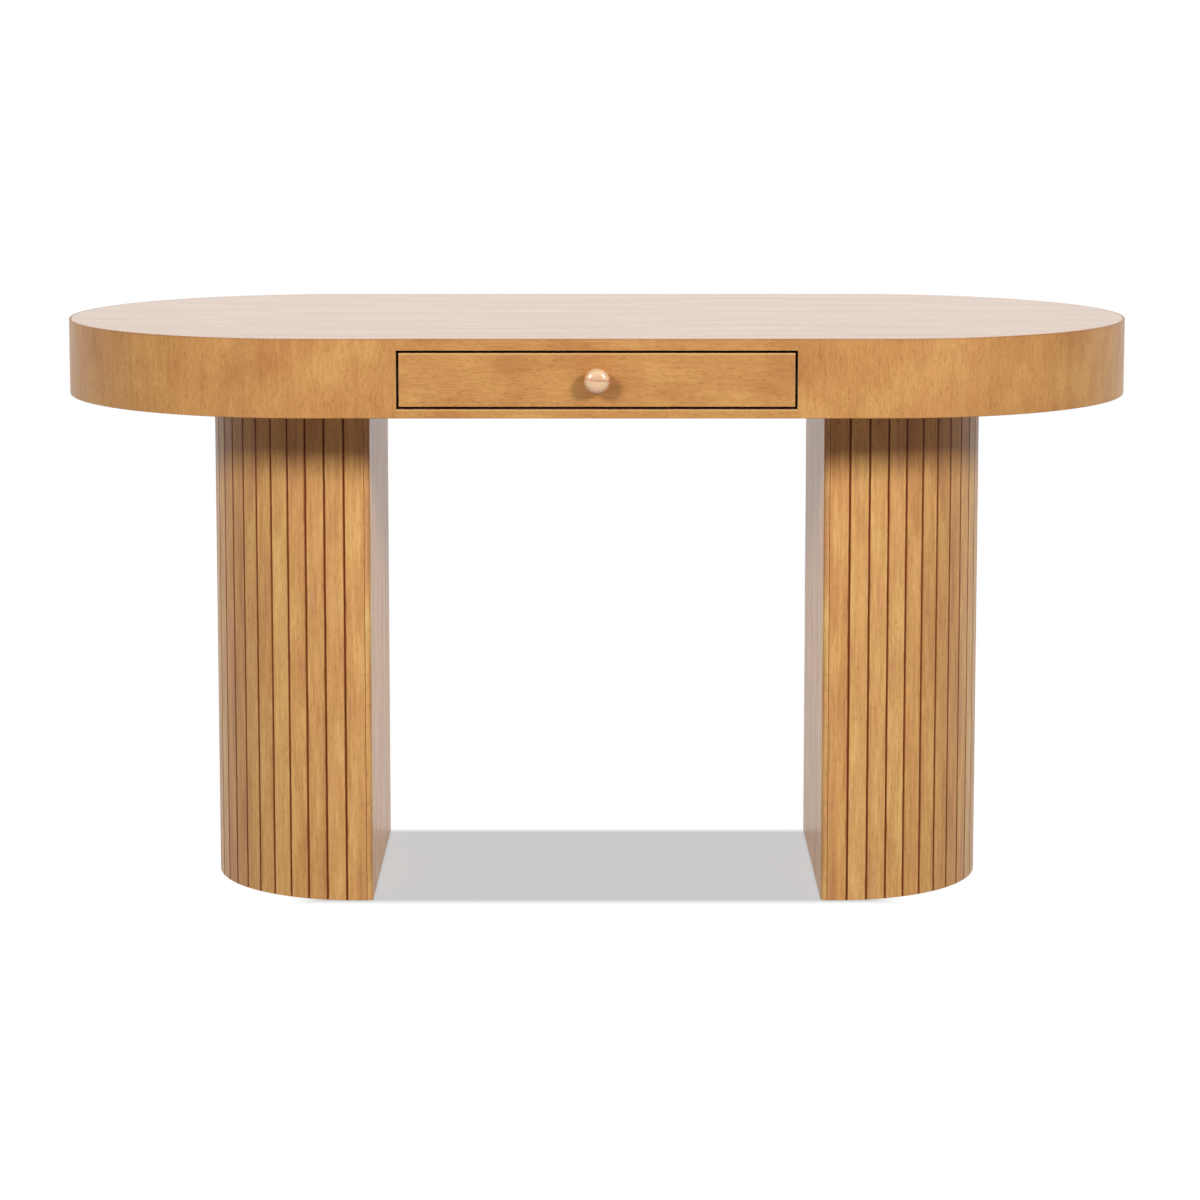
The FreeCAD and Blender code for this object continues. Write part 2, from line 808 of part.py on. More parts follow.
# Legs, right-hand one. Plans are drawn from the middle of the round side.

LEG_CORNER = ("leg_middle", "0", "leg_base")


def d_plate(name, level, holes):
    """A D-shaped plate inside the leg, notched for the corner posts."""
    path = [
        ("panel_back", "-post_inner"),
        ("post_side", "-post_inner"),
        ("post_side", "-post_outer", "0", "0", 1),
        ("post_side", "post_outer"),
        ("post_side", "post_inner"),
        ("panel_back", "post_inner"),
    ]
    return plate(name, ("leg_middle", "0", level), path, "plate_thickness", holes)


def leg_top_plate(name):
    """The plate that is bolted up against the bottom panel of the case."""
    holes = [(across + " - leg_middle", along, "bolt_hole_radius") for across, along in bolt_places()]
    return d_plate(name, "top_plate_base", holes)


def hand_hole():
    return ("hand_hole_offset", "0", "hand_hole_diameter / 2")


def leg_mid_former(name):
    return d_plate(name, "mid_former_base", [hand_hole()])


def glide_places():
    """The x and y of the four glides of a leg, from the middle of its round side."""
    inner_offset = "post_side + glide_diameter / 2"
    places = []
    for side in ("-", ""):
        places.append((inner_offset, side + "glide_inner_reach"))
        places.append(("glide_outer_offset", side + "glide_outer_reach"))
    return places


def leg_base_former(name):
    holes = [hand_hole()]
    for across, along in glide_places():
        holes.append((across, along, "glide_nail_diameter / 2 + fit_clearance"))
    return d_plate(name, "leg_base", holes)


def leg_inner_panel(name):
    """The flat board behind the inner slats."""
    lengths = ("panel_thickness", "2 * skin_radius", "leg_height")
    return block(name, lengths, ("leg_middle + panel_face", "-skin_radius", "leg_base"))


def leg_curved_skin(name):
    """The bent plywood that the curved slats are glued to."""
    path = [
        ("panel_back", "-skin_radius"),
        ("0", "-skin_radius", "0", "0", 1),
        ("0", "skin_radius"),
        ("panel_back", "skin_radius"),
        ("panel_back", "plate_radius"),
        ("0", "plate_radius", "0", "0", -1),
        ("0", "-plate_radius"),
        ("panel_back", "-plate_radius"),
    ]
    return plate(name, LEG_CORNER, path, "leg_height")


def leg_corner_posts(name):
    """Two upright posts in the corners between the flat panel and the skin."""
    posts = []
    for index, low_side in enumerate(("-post_outer", "post_inner")):
        post = block(
            "%s_post_%d" % (name, index),
            ("post_width", "post_width", "leg_height"),
            ("leg_middle + panel_back", low_side, "leg_base"),
        )
        posts.append(post)
    return group(name, posts)


def arc_slats(name):
    """The slats on the arc of the round side: one slat, repeated about the middle of the arc."""
    body = new_body(name, LEG_CORNER)
    path = [
        ("skin_radius", "-slat_inner_half"),
        ("slat_face - slat_chamfer", "-slat_outer_half"),
        ("slat_face", "slat_chamfer - slat_outer_half"),
        ("slat_face", "slat_outer_half - slat_chamfer"),
        ("slat_face - slat_chamfer", "slat_outer_half"),
        ("skin_radius", "slat_inner_half"),
    ]
    slat = pad(body, outline(body, "XY_Plane", path), "leg_height")
    fan = body.newObject("PartDesign::PolarPattern", name + "_fan")
    fan.Originals = [slat]
    fan.Axis = (origin_part(body, "Z_Axis"), [""])
    bind(fan, "Angle", "slat_sweep")
    bind(fan, "Occurrences", "arc_slat_count")
    body.Tip = fan
    first_turn = "-slat_sweep / 2"
    turn = FreeCAD.Rotation(UPWARD, amount_of(first_turn))
    body.Placement = FreeCAD.Placement(body.Placement.Base, turn)
    bind(body, "Placement.Rotation.Angle", first_turn)
    return body


def end_slat(name):
    """The first slat of the round side, beside the flat face, on the straight stretch."""
    near = "panel_face + slat_gap / 2"
    far = "end_slat_reach - slat_gap / 2"
    path = [
        (near, "-skin_radius"),
        (near, "slat_chamfer - leg_radius"),
        (near + " + slat_chamfer", "-leg_radius"),
        (far + " - slat_chamfer", "-leg_radius"),
        (far, "slat_chamfer - leg_radius"),
        (far, "-skin_radius"),
    ]
    return plate(name, LEG_CORNER, path, "leg_height")


def far_twin(name, source):
    """The copy of a piece on the other side of the desk's middle plane, front to back."""
    item = doc.addObject("Part::Mirroring", name)
    item.Source = source
    item.Normal = BACKWARD
    bind(item, "Base.y", "plan_middle")
    return item


def leg_curved_slats(name):
    front_slat = end_slat(name + "_front_slat")
    back_slat = far_twin(name + "_back_slat", front_slat)
    return group(name, [arc_slats(name + "_arc_slats"), front_slat, back_slat])


def slat_row(name):
    """The slats of the flat face: one slat, repeated from front to back."""
    body = new_body(name, ("leg_middle - leg_straight", "-leg_radius", "leg_base"))
    path = [
        ("0", "slat_gap / 2 + slat_chamfer"),
        ("slat_chamfer", "slat_gap / 2"),
        ("slat_thickness", "slat_gap / 2"),
        ("slat_thickness", "inner_pitch - slat_gap / 2"),
        ("slat_chamfer", "inner_pitch - slat_gap / 2"),
        ("0", "inner_pitch - slat_gap / 2 - slat_chamfer"),
    ]
    slat = pad(body, outline(body, "XY_Plane", path), "leg_height")
    row = body.newObject("PartDesign::LinearPattern", name + "_row")
    row.Originals = [slat]
    row.Direction = (origin_part(body, "Y_Axis"), [""])
    bind(row, "Length", "inner_pitch * (inner_slat_count - 1)")
    bind(row, "Occurrences", "inner_slat_count")
    body.Tip = row
    return body


def inner_face_envelope(name):
    """The room of the inner slats in plan, with the two rounded corners of the leg."""
    low = "slat_gap / 2 - leg_radius"
    high = "leg_radius - slat_gap / 2"
    round_x = "leg_corner_radius - leg_straight"
    path = [
        ("panel_face", low),
        ("panel_face", high),
        (round_x, high, round_x, high + " - leg_corner_radius", 1),
        ("-leg_straight", high + " - leg_corner_radius"),
        ("-leg_straight", low + " + leg_corner_radius", round_x, low + " + leg_corner_radius", 1),
        (round_x, low),
    ]
    return plate(name, LEG_CORNER, path, "leg_height")


def leg_inner_slats(name):
    item = doc.addObject("Part::Common", name)
    item.Base = slat_row(name + "_row")
    item.Tool = inner_face_envelope(name + "_envelope")
    return item


def leg_glides(name):
    """Nail-in glides under the base former."""
    glides = []
    for index, (offset, along) in enumerate(glide_places()):
        across = "leg_middle + " + offset
        pad_part = rod(
            "%s_pad_%d" % (name, index), "glide_diameter / 2", "glide_proud", (across, along, "0")
        )
        nail = rod(
            "%s_nail_%d" % (name, index),
            "glide_nail_diameter / 2",
            "glide_nail_length",
            (across, along, "glide_proud"),
        )
        glides.append(fused("%s_glide_%d" % (name, index), [pad_part, nail]))
    return group(name, glides)


def leg_bolts(name):
    """Bolts from inside the leg up into the inserts of the case."""
    bolts = []
    for index, (across, along) in enumerate(bolt_places()):
        head = rod(
            "%s_head_%d" % (name, index),
            "bolt_head_diameter / 2",
            "bolt_head_height",
            (across, along, "washer_base - bolt_head_height"),
        )
        shank = rod(
            "%s_shank_%d" % (name, index),
            "bolt_diameter / 2",
            "bolt_length",
            (across, along, "washer_base"),
        )
        bolts.append(fused("%s_bolt_%d" % (name, index), [head, shank]))
    return group(name, bolts)


def leg_washers(name):
    washers = []
    for index, (across, along) in enumerate(bolt_places()):
        start = (across, along, "washer_base")
        disc = rod("%s_disc_%d" % (name, index), "washer_diameter / 2", "washer_thickness", start)
        bore = rod(
            "%s_bore_%d" % (name, index), "bolt_diameter / 2 + fit_clearance", "washer_thickness", start
        )
        washers.append(cut("%s_washer_%d" % (name, index), disc, [bore]))
    return group(name, washers)


for single in (
    top_panel, bottom_panel, edge_band, back_rail, threaded_inserts, cabinet_rail_screws,
    drawer_front, drawer_back, drawer_bottom, drawer_knob, knob_screw, drawer_dowels,
    drawer_rail_screws,
):
    keep(single(), single.__name__)
for twin in (
    end_apron, front_rail, drawer_guide, leg_battens, cabinet_rail, mid_rail, drawer_rail,
    outer_ball_cage, inner_ball_cage, outer_balls, inner_balls, drawer_side,
    leg_top_plate, leg_mid_former, leg_base_former, leg_inner_panel, leg_curved_skin,
    leg_corner_posts, leg_curved_slats, leg_inner_slats, leg_glides, leg_bolts, leg_washers,
):
    both_sides(twin.__name__, twin)

doc.recompute()

faults = []
for item in doc.Objects:
    if "Invalid" in item.State or "Error" in item.State:
        faults.append("%s is %s" % (item.Label, item.State))
for piece in pieces:
    if piece.Shape.isNull() or not piece.Shape.isValid() or not piece.Shape.Solids:
        faults.append("%s has no valid solid" % piece.Label)
if faults:
    sys.exit("\n".join(faults))

os.makedirs("parts", exist_ok=True)
for piece in pieces:
    piece.Shape.exportStep("parts/%s.step" % piece.Label)
print("%d pieces, %d solids" % (len(pieces), sum(len(piece.Shape.Solids) for piece in pieces)))
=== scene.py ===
"""Looks of the console desk: an oval case with one inset drawer on two slatted D-shaped legs.

Metres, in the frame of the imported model: +X is to the right of somebody who faces the drawer,
+Y points to the back and +Z up.
"""

import math
import random

import bmesh
import bpy
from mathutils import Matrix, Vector


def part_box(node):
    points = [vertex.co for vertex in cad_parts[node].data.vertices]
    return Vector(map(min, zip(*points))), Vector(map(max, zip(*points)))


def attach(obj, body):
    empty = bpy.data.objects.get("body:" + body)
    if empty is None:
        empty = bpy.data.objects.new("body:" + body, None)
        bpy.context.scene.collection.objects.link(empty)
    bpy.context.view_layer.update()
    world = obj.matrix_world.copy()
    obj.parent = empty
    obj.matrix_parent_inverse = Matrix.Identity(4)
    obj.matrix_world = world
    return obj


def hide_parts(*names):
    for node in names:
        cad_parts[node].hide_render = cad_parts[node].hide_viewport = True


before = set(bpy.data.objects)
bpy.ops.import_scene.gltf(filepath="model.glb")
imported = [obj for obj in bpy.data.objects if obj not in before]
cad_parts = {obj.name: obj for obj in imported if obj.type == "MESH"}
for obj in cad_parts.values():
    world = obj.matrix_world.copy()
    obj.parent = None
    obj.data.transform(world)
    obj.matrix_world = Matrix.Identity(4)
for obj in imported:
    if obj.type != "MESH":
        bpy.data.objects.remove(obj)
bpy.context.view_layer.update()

SIDES = {"left": -1, "right": 1}
AXES = {"x": 0, "y": 1, "z": 2}
FULL_TURN = 2 * math.pi
HALF_TURN = math.pi
QUARTER_TURN = math.pi / 2


def colour(red, green, blue):
    """A colour as it is read off a screen, from 0 to 255, as the shader's linear values."""
    full, knee, slope, offset, power = 255, 0.04045, 12.92, 0.055, 2.4
    linear = []
    for value in (red, green, blue):
        level = value / full
        if level <= knee:
            linear.append(level / slope)
        else:
            linear.append(((level + offset) / (1 + offset)) ** power)
    return (*linear, 1.0)


# Sizes and places, read from the frame
band_low, band_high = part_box("edge_band")
top_low, top_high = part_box("top_panel")
under_low, under_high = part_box("bottom_panel")
front_low, front_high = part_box("drawer_front")
knob_low, knob_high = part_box("drawer_knob")
slat_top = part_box("leg_curved_slats_right")[1].z
plan_middle = (band_low.y + band_high.y) / 2
case_radius = (band_high.y - band_low.y) / 2
panel_radius = (top_high.y - top_low.y) / 2
end_middle = band_high.x - case_radius
reveal = front_low.z - under_high.z
opening_half = front_high.x + reveal

# Case and drawer front: how finely the ends are rounded, and how far the edges are eased
END_STEPS = 96
BAND_EASING = 0.0009
SEAM_EASING = 0.0002
FRONT_EASING = 0.0012
EASING_SEGMENTS = 3
ROUND_PROFILE = 0.5
# Edges sharper than this, in degrees, stay creased
CREASE_ANGLE = 42

# Knob: radius as a share of the head's, reach as a share of the whole reach
KNOB_PROFILE_SHARES = (
    (0.53, 0.0),
    (0.51, 0.04),
    (0.43, 0.12),
    (0.406, 0.19),
    (0.46, 0.27),
    (0.70, 0.345),
    (0.91, 0.44),
    (1.0, 0.577),
    (0.965, 0.74),
    (0.85, 0.885),
    (0.6, 0.966),
    (0.3, 0.994),
    (0.0, 1.0),
)
KNOB_STEPS = 72
KNOB_CURVE_STEPS = 5

# Legs: the straight stretch between the flat inner face and the round side, and the slats
LEG_STRAIGHT = 0.0225
LEG_CORNER_RADIUS = 0.007
ROUND_SLAT_COUNT = 25
FLAT_SLAT_COUNT = 15
SLAT_GAP = 0.0002
SLAT_EASING = 0.0019
CORNER_SEGMENTS = 8
CORNER_SEAM_EASING = 0.0006
# What each point of a slat carries for its paint: its place across the slat, the slat's number
# and tone, how far the point is from the groove's stain and painted shade, and where across the slat a
# pin hole is
SLAT_LAYERS = ("across", "slat", "tone", "edge", "pin")
CORNER_TONE = 0.2

# Pin holes that show near the top of four front slats of the right leg: where each lies across
# its slat, as a share of half the slat's width. The end slat is the one beside the flat face.
END_PIN_SHARE = -0.12
ARC_PIN_SHARES = (-0.48, -0.12, 0.0)
PIN_DEPTH = 0.0225
PIN_RADIUS = 0.0013
PIN_CORE_RADIUS = 0.00065
# A slat without a pin hole has it this far off to the side
NO_PIN = 1.0

# Grain of each wood: the marks' size across the grain and how many times longer they are along
# it, how often the lines of the figure come back, and how much each kind of mark darkens
VENEER_GRAIN = {
    "patch": (0.085, 1.0),
    "cloud": (0.018, 3.5),
    "figure": (0.11, 9.0),
    "streak": (0.0044, 26.0),
    "fleck": (0.002, 6.0),
    "pore": (0.0016, 4.0),
    "figure_lines": 13.0,
    "depths": {"figure": 0.05, "streak": 0.07, "fleck": 0.13, "pore": 0.22},
}
TOP_GRAIN = {
    "patch": (0.05, 4.0),
    "cloud": (0.014, 7.0),
    "figure": (0.07, 14.0),
    "streak": (0.0044, 30.0),
    "fleck": (0.002, 8.0),
    "pore": (0.0016, 6.0),
    "figure_lines": 11.0,
    "depths": {"figure": 0.06, "streak": 0.1, "fleck": 0.13, "pore": 0.22},
}
SLAT_GRAIN = {
    "patch": (0.024, 6.0),
    "cloud": (0.007, 11.0),
    "figure": (0.03, 12.0),
    "streak": (0.0034, 26.0),
    "fleck": (0.0021, 8.0),
    "pore": (0.0017, 5.0),
    "figure_lines": 7.0,
    "depths": {"figure": 0.08, "streak": 0.17, "fleck": 0.13, "pore": 0.16},
}
KNOB_GRAIN = {
    "patch": (0.009, 5.0),
    "cloud": (0.004, 6.0),
    "figure": (0.012, 7.0),
    "streak": (0.0014, 14.0),
    "fleck": (0.0009, 5.0),
    "pore": (0.0006, 8.0),
    "figure_lines": 4.0,
    "depths": {"figure": 0.07, "streak": 0.07, "fleck": 0.04, "pore": 0.08},
}
BIRCH_GRAIN = {
    "patch": (0.05, 5.0),
    "cloud": (0.012, 8.0),
    "figure": (0.09, 12.0),
    "streak": (0.004, 26.0),
    "fleck": (0.002, 5.0),
    "pore": (0.0014, 6.0),
    "figure_lines": 12.0,
    "depths": {"figure": 0.08, "streak": 0.07, "fleck": 0.06, "pore": 0.14},
}

# Grain of every wood: the order of the axes with the grain last, and how fine each mark's noise is
GRAIN_ORDER = {"x": (1, 2, 0), "y": (0, 2, 1), "z": (0, 1, 2)}
MARK_DETAILS = {"patch": 1.5, "cloud": 2.5, "figure": 0.0, "streak": 2.5, "fleck": 1.5, "pore": 1.0}
MARK_ROUGHNESS = 0.55
# Patches and clouds together choose the tone, at these levels of their noise
PATCH_SHARE = 0.65
CLOUD_SHARE = 0.35
PALE_TO_MIDDLE = (0.38, 0.5)
MIDDLE_TO_DEEP = (0.5, 0.63)
# The darker marks come in between these levels of their noise
FIGURE_SPAN = (0.0, 0.45)
MARK_SPANS = {"streak": (0.35, 0.65), "fleck": (0.35, 0.65), "pore": (0.56, 0.7)}
# How much of a mark's depth goes to the light side of the wood's tone
LIGHT_SHARES = {"streak": 0.5, "fleck": 0.5, "pore": 0.15}
# How strongly a dark mark takes the red and the blue down, against the green
RED_SHARE = 0.75
BLUE_SHARE = 1.4

# Finish of each wood
VENEER_FINISH = {
    "roughness": 0.42,
    "relief": 0.00005,
    "specular": 0.25,
    "coat": 0.15,
    "coat_roughness": 0.22,
}
TOP_FINISH = VENEER_FINISH | {"specular": 0.55, "coat": 0.95}
SLAT_FINISH = VENEER_FINISH | {"relief": 0.00006}
INNER_SLAT_FINISH = SLAT_FINISH | {"coat": 0.35}
BIRCH_FINISH = VENEER_FINISH | {"coat": 0.0}
PLY_FINISH = BIRCH_FINISH | {"roughness": 0.6, "relief": 0.0001}
KNOB_FINISH = {
    "roughness": 0.24,
    "relief": 0.00003,
    "specular": 0.5,
    "coat": 0.6,
    "coat_roughness": 0.3,
}
# The wood's light streaks shine a little more than it does at large, and its dark ones less
STREAK_SPAN = (0.3, 0.7)
STREAK_SHINE = 0.04
STREAK_DULLING = 0.05
RELIEF_STRENGTH = 0.3

# Stained veneer
VENEER_TONES = (colour(218, 161, 94), colour(209, 150, 86), colour(199, 138, 78))
# The drawer front's edges are stained and painted darker for the shade of the gap, up to where its
# eased corners turn to the front
EDGE_STAIN_AND_SHADE = colour(112, 88, 78)
EDGE_FACING = 0.55
FACE_FACING = 0.88
# The band darkens towards its upper rim, between these depths below it
RIM_TONE = colour(158, 92, 50)
RIM_FROM = 0.0022
RIM_TO = 0.0008
RIM_STRENGTH = 0.4
# The faces inside the drawer opening get painted shade, near black, and a little round its corners
GAP_PAINTED_SHADE = colour(26, 13, 8)
GAP_SHADE_SPILL = 0.0006
# A painted highlight just below an upper edge, where the eased edge catches the light, down to these
# depths
EDGE_HIGHLIGHT_TONE = colour(240, 193, 128)
EDGE_HIGHLIGHT_FROM = 0.0012
EDGE_HIGHLIGHT_TO = 0.0034
EDGE_HIGHLIGHT_STRENGTH = 0.7

# Stained slats
SLAT_PALE_TONES = (colour(240, 190, 117), colour(232, 177, 107), colour(222, 163, 105))
SLAT_DEEP_TONES = (colour(234, 177, 107), colour(222, 161, 97), colour(208, 145, 92))
# Each slat is cut from a place of its own in the grain: this much further across and behind
SLAT_GRAIN_APART = 0.173
SLAT_GRAIN_BEHIND = 0.31
# The stain and painted shade of the grooves are full at the groove and end at their reach, further
# out on the slats of a deep tone and where they are smudged
STAIN_AND_SHADE_TONE = colour(131, 62, 4)
STAIN_AND_SHADE_STRENGTH = 0.94
STAIN_AND_SHADE_CORE = 0.0008
STAIN_AND_SHADE_REACH = 0.0015
STAIN_AND_SHADE_REACH_DEEP = 0.0009
STAIN_AND_SHADE_SMUDGE = 0.0015
SMUDGE_SHARE = 0.14
SMUDGE_SIZE = 0.006
SMUDGE_SPAN = (0.48, 0.75)
PIN_TONE = colour(40, 20, 10)

# Clear maple of the knob
MAPLE_TONES = (colour(249, 212, 174), colour(243, 203, 163), colour(234, 188, 146))
STRIPE_TONE = colour(204, 144, 104)
STRIPE_LEVEL = 0.0008
STRIPE_SLOPE = -0.09
STRIPE_HALF = 0.0028
STRIPE_STRENGTH = 0.65
# Light goes a little way into the pale wood
KNOB_DEPTH = 0.7
KNOB_GLOW = 0.009
KNOB_GLOW_SHARES = (1.0, 0.6, 0.5)

# Birch and plywood
BIRCH_TONES = (colour(231, 207, 170), colour(225, 197, 156), colour(215, 182, 139))
PLY_TONES = (colour(214, 184, 140), colour(202, 168, 122), colour(184, 146, 100))
PLY_DARK = colour(140, 104, 68)
PLY_PITCH = 0.0028
PLY_SPAN = (0.35, 0.65)
PLY_FACING = (0.4, 0.6)
# The way the face grain of a board runs, by the way its layers are stacked
PLY_FACE_GRAIN = {"x": "z", "y": "x", "z": "x", "round": "z"}

# Metals: tone, roughness and size of the mottle
BLACK_ZINC = (colour(84, 85, 89), 0.34, 0.006)
BRIGHT_ZINC = (colour(196, 194, 186), 0.34, 0.003)
BEARING_STEEL = (colour(222, 223, 226), 0.12, 0.002)
MOTTLE_SHARE = 0.82
MOTTLE_DETAIL = 3.0
MOTTLE_SPAN = (0.3, 0.7)
MOTTLE_TO_FINE = 6
METAL_DULLING = 0.12
METAL_RELIEF = 0.00002

# Plastics: tone, tone of the speckle and roughness
CAGE_PLASTIC = (colour(226, 226, 220), colour(206, 206, 199), 0.4)
GLIDE_PLASTIC = (colour(62, 58, 55), colour(44, 41, 39), 0.5)
SPECKLE_SIZE = 0.0008
SPECKLE_SPAN = (0.35, 0.65)
SPECKLE_STRENGTH = 0.5
SPECKLE_GLOSS_SPAN = (0.3, 0.7)
PLASTIC_DULLING = 0.1
PLASTIC_RELIEF = 0.00003

# Noise of the marks, the mottle and the speckle
PLAIN_DETAIL = 2.0
PLAIN_ROUGHNESS = 0.5
SPECKLE_ROUGHNESS = 0.6

# The mix node's sockets share their names, so each is found by its place: the two inputs that
# are mixed, and the output
MIX_FACTOR = 0
MIX_SOCKETS = {"RGBA": (6, 7, 2), "VECTOR": (4, 5, 1)}

# Camera
CAMERA_PLACE = Vector((0.0009, -4.5397, 1.1513))
CAMERA_PITCH = 83.204
CAMERA_YAW = -0.04
CAMERA_LENS = 102.78
CAMERA_SENSOR = 36
CAMERA_SHIFT = -0.15

# Stage: the floor has one shade where it is seen and one for the light that it throws back, and
# a glow that lifts the seen shadow to a pale neutral grey
WHITE = (1.0, 1.0, 1.0, 1.0)
WORLD_LIGHT = 0.16
FLOOR_HALF = 8.0
FLOOR_SHADE = 0.6
FLOOR_BOUNCE = 0.35
FLOOR_LIFT = 0.536
FLOOR_GLOW = (0.885, 0.953, 1.0, 1.0)
SHADOW_SOFT_EDGE = 0.03

# Lamps, which all point to the heart of the desk: place, width and depth, and power
DESK_HEART = Vector((0.0, 0.0, 0.5))
SOFTBOX_LEFT = (Vector((-2.3, -3.2, 2.3)), (0.8, 0.8), 79)
SOFTBOX_RIGHT = (Vector((2.4, -3.2, 2.3)), (0.8, 0.8), 95)
OVERHEAD = (Vector((0.0, 0.0, 3.2)), (2.0, 1.4), 5)
BACK_FILL = (Vector((0.0, 4.0, 1.5)), (1.6, 1.0), 50)
FLOOR_LIGHT = (Vector((0.0, 0.1, 3.2)), (1.2, 0.7), 40)
SURFACE_LIGHT = (Vector((0.0, 0.0, 3.2)), (2.0, 1.4), 23)


# Node trees

class Nodes:
    """A node tree, with short ways to add to it."""

    def __init__(self, tree):
        self.tree = tree

    def feed(self, socket, value):
        if isinstance(value, bpy.types.NodeSocket):
            self.tree.links.new(value, socket)
        else:
            socket.default_value = value

    def add(self, kind, feeds, **settings):
        node = self.tree.nodes.new(kind)
        for key, value in settings.items():
            setattr(node, key, value)
        for socket, value in feeds.items():
            self.feed(node.inputs[socket], value)
        return node

    def sum(self, operation, first, second=0.0, third=0.0):
        node = self.add("ShaderNodeMath", {0: first, 1: second, 2: third}, operation=operation)
        return node.outputs[0]

    def span(self, value, low, high, to_low=0.0, to_high=1.0):
        feeds = {"Value": value, "From Min": low, "From Max": high, "To Min": to_low, "To Max": to_high}
        node = self.add("ShaderNodeMapRange", feeds, interpolation_type="SMOOTHSTEP")
        return node.outputs["Result"]

    def mix(self, factor, first, second, blend="MIX", kind="RGBA"):
        first_socket, second_socket, result = MIX_SOCKETS[kind]
        feeds = {MIX_FACTOR: factor, first_socket: first, second_socket: second}
        node = self.add("ShaderNodeMix", feeds, data_type=kind, blend_type=blend)
        return node.outputs[result]

    def split(self, vector):
        return self.add("ShaderNodeSeparateXYZ", {0: vector}).outputs

    def join(self, x, y, z):
        return self.add("ShaderNodeCombineXYZ", {0: x, 1: y, 2: z}).outputs[0]

    def scaled(self, vector, scales):
        node = self.add("ShaderNodeVectorMath", {0: vector, 1: scales}, operation="MULTIPLY")
        return node.outputs[0]

    def shifted(self, vector, offset):
        node = self.add("ShaderNodeVectorMath", {0: vector, 1: offset}, operation="ADD")
        return node.outputs[0]

    def length(self, vector):
        node = self.add("ShaderNodeVectorMath", {0: vector}, operation="LENGTH")
        return node.outputs["Value"]

    def noise(self, place, size, detail=PLAIN_DETAIL, roughness=PLAIN_ROUGHNESS):
        feeds = {"Vector": place, "Scale": 1 / size, "Detail": detail, "Roughness": roughness}
        return self.add("ShaderNodeTexNoise", feeds).outputs["Fac"]

    def bump(self, height, depth):
        feeds = {"Height": height, "Distance": depth, "Strength": RELIEF_STRENGTH}
        return self.add("ShaderNodeBump", feeds).outputs["Normal"]

    def place(self):
        return self.add("ShaderNodeTexCoord", {}).outputs["Object"]

    def normal(self):
        return self.add("ShaderNodeNewGeometry", {}).outputs["Normal"]

    def attribute(self, name):
        return self.add("ShaderNodeAttribute", {}, attribute_name=name).outputs["Fac"]


class Paint(Nodes):
    """A new material and its node tree."""

    def __init__(self, name):
        self.material = bpy.data.materials.new(name)
        self.material.use_nodes = True
        super().__init__(self.material.node_tree)
        self.shader = self.tree.nodes["Principled BSDF"]

    def set(self, **feeds):
        for name, value in feeds.items():
            self.feed(self.shader.inputs[name.replace("_", " ")], value)


# Wood

def grain_space(paint, place, along):
    """Places with the grain as the last axis."""
    parts = paint.split(place)
    first, second, last = GRAIN_ORDER[along]
    return paint.join(parts[first], parts[second], parts[last])


def grain_marks(paint, space, grain, patch_space=None):
    """The noise of each kind of mark in the grain. The patches may lie in a space of their own."""
    marks = {}
    for kind, detail in MARK_DETAILS.items():
        size, stretch = grain[kind]
        source = patch_space if patch_space and kind == "patch" else space
        spread = paint.scaled(source, (1, 1, 1 / stretch))
        marks[kind] = paint.noise(spread, size, detail, MARK_ROUGHNESS)
    lines = paint.sum("MULTIPLY", marks["figure"], grain["figure_lines"])
    marks["figure"] = paint.sum("PINGPONG", lines, 1.0)
    return marks


def wood_colour(paint, marks, tones, grain):
    """Broad patches choose between three tones, and the finer marks darken and redden them."""
    pale, middle, deep = tones
    patches = paint.sum("MULTIPLY", marks["patch"], PATCH_SHARE)
    blotch = paint.sum("MULTIPLY_ADD", marks["cloud"], CLOUD_SHARE, patches)
    base = paint.mix(paint.span(blotch, *PALE_TO_MIDDLE), pale, middle)
    base = paint.mix(paint.span(blotch, *MIDDLE_TO_DEEP), base, deep)
    depths = grain["depths"]
    shade = paint.span(marks["figure"], *FIGURE_SPAN, 1.0 - depths["figure"], 1.0)
    for kind, mark_span in MARK_SPANS.items():
        lift = depths[kind] * LIGHT_SHARES[kind]
        mark = paint.span(marks[kind], *mark_span, 1.0 + lift, 1.0 + lift - depths[kind])
        shade = paint.sum("MULTIPLY", shade, mark)
    red = paint.sum("POWER", shade, RED_SHARE)
    blue = paint.sum("POWER", shade, BLUE_SHARE)
    return paint.mix(1.0, base, paint.join(red, shade, blue), "MULTIPLY")


def finish_wood(paint, tone, marks, finish):
    """Satin lacquer over wood that is open enough to show its grain in the gloss."""
    glossy = finish["roughness"] - STREAK_SHINE
    dull = finish["roughness"] + STREAK_DULLING
    relief = paint.sum("ADD", marks["streak"], marks["fleck"])
    paint.set(Base_Color=tone)
    paint.set(Roughness=paint.span(marks["streak"], *STREAK_SPAN, glossy, dull))
    paint.set(Normal=paint.bump(relief, finish["relief"]))
    paint.set(Specular_IOR_Level=finish["specular"])
    paint.set(Coat_Weight=finish["coat"], Coat_Roughness=finish["coat_roughness"])


def panel_veneer():
    """The lacquered veneer of the two oval panels, with its grain along the desk."""
    paint = Paint("panel_veneer")
    marks = grain_marks(paint, grain_space(paint, paint.place(), "x"), TOP_GRAIN)
    tone = wood_colour(paint, marks, VENEER_TONES, TOP_GRAIN)
    finish_wood(paint, tone, marks, TOP_FINISH)
    return paint.material


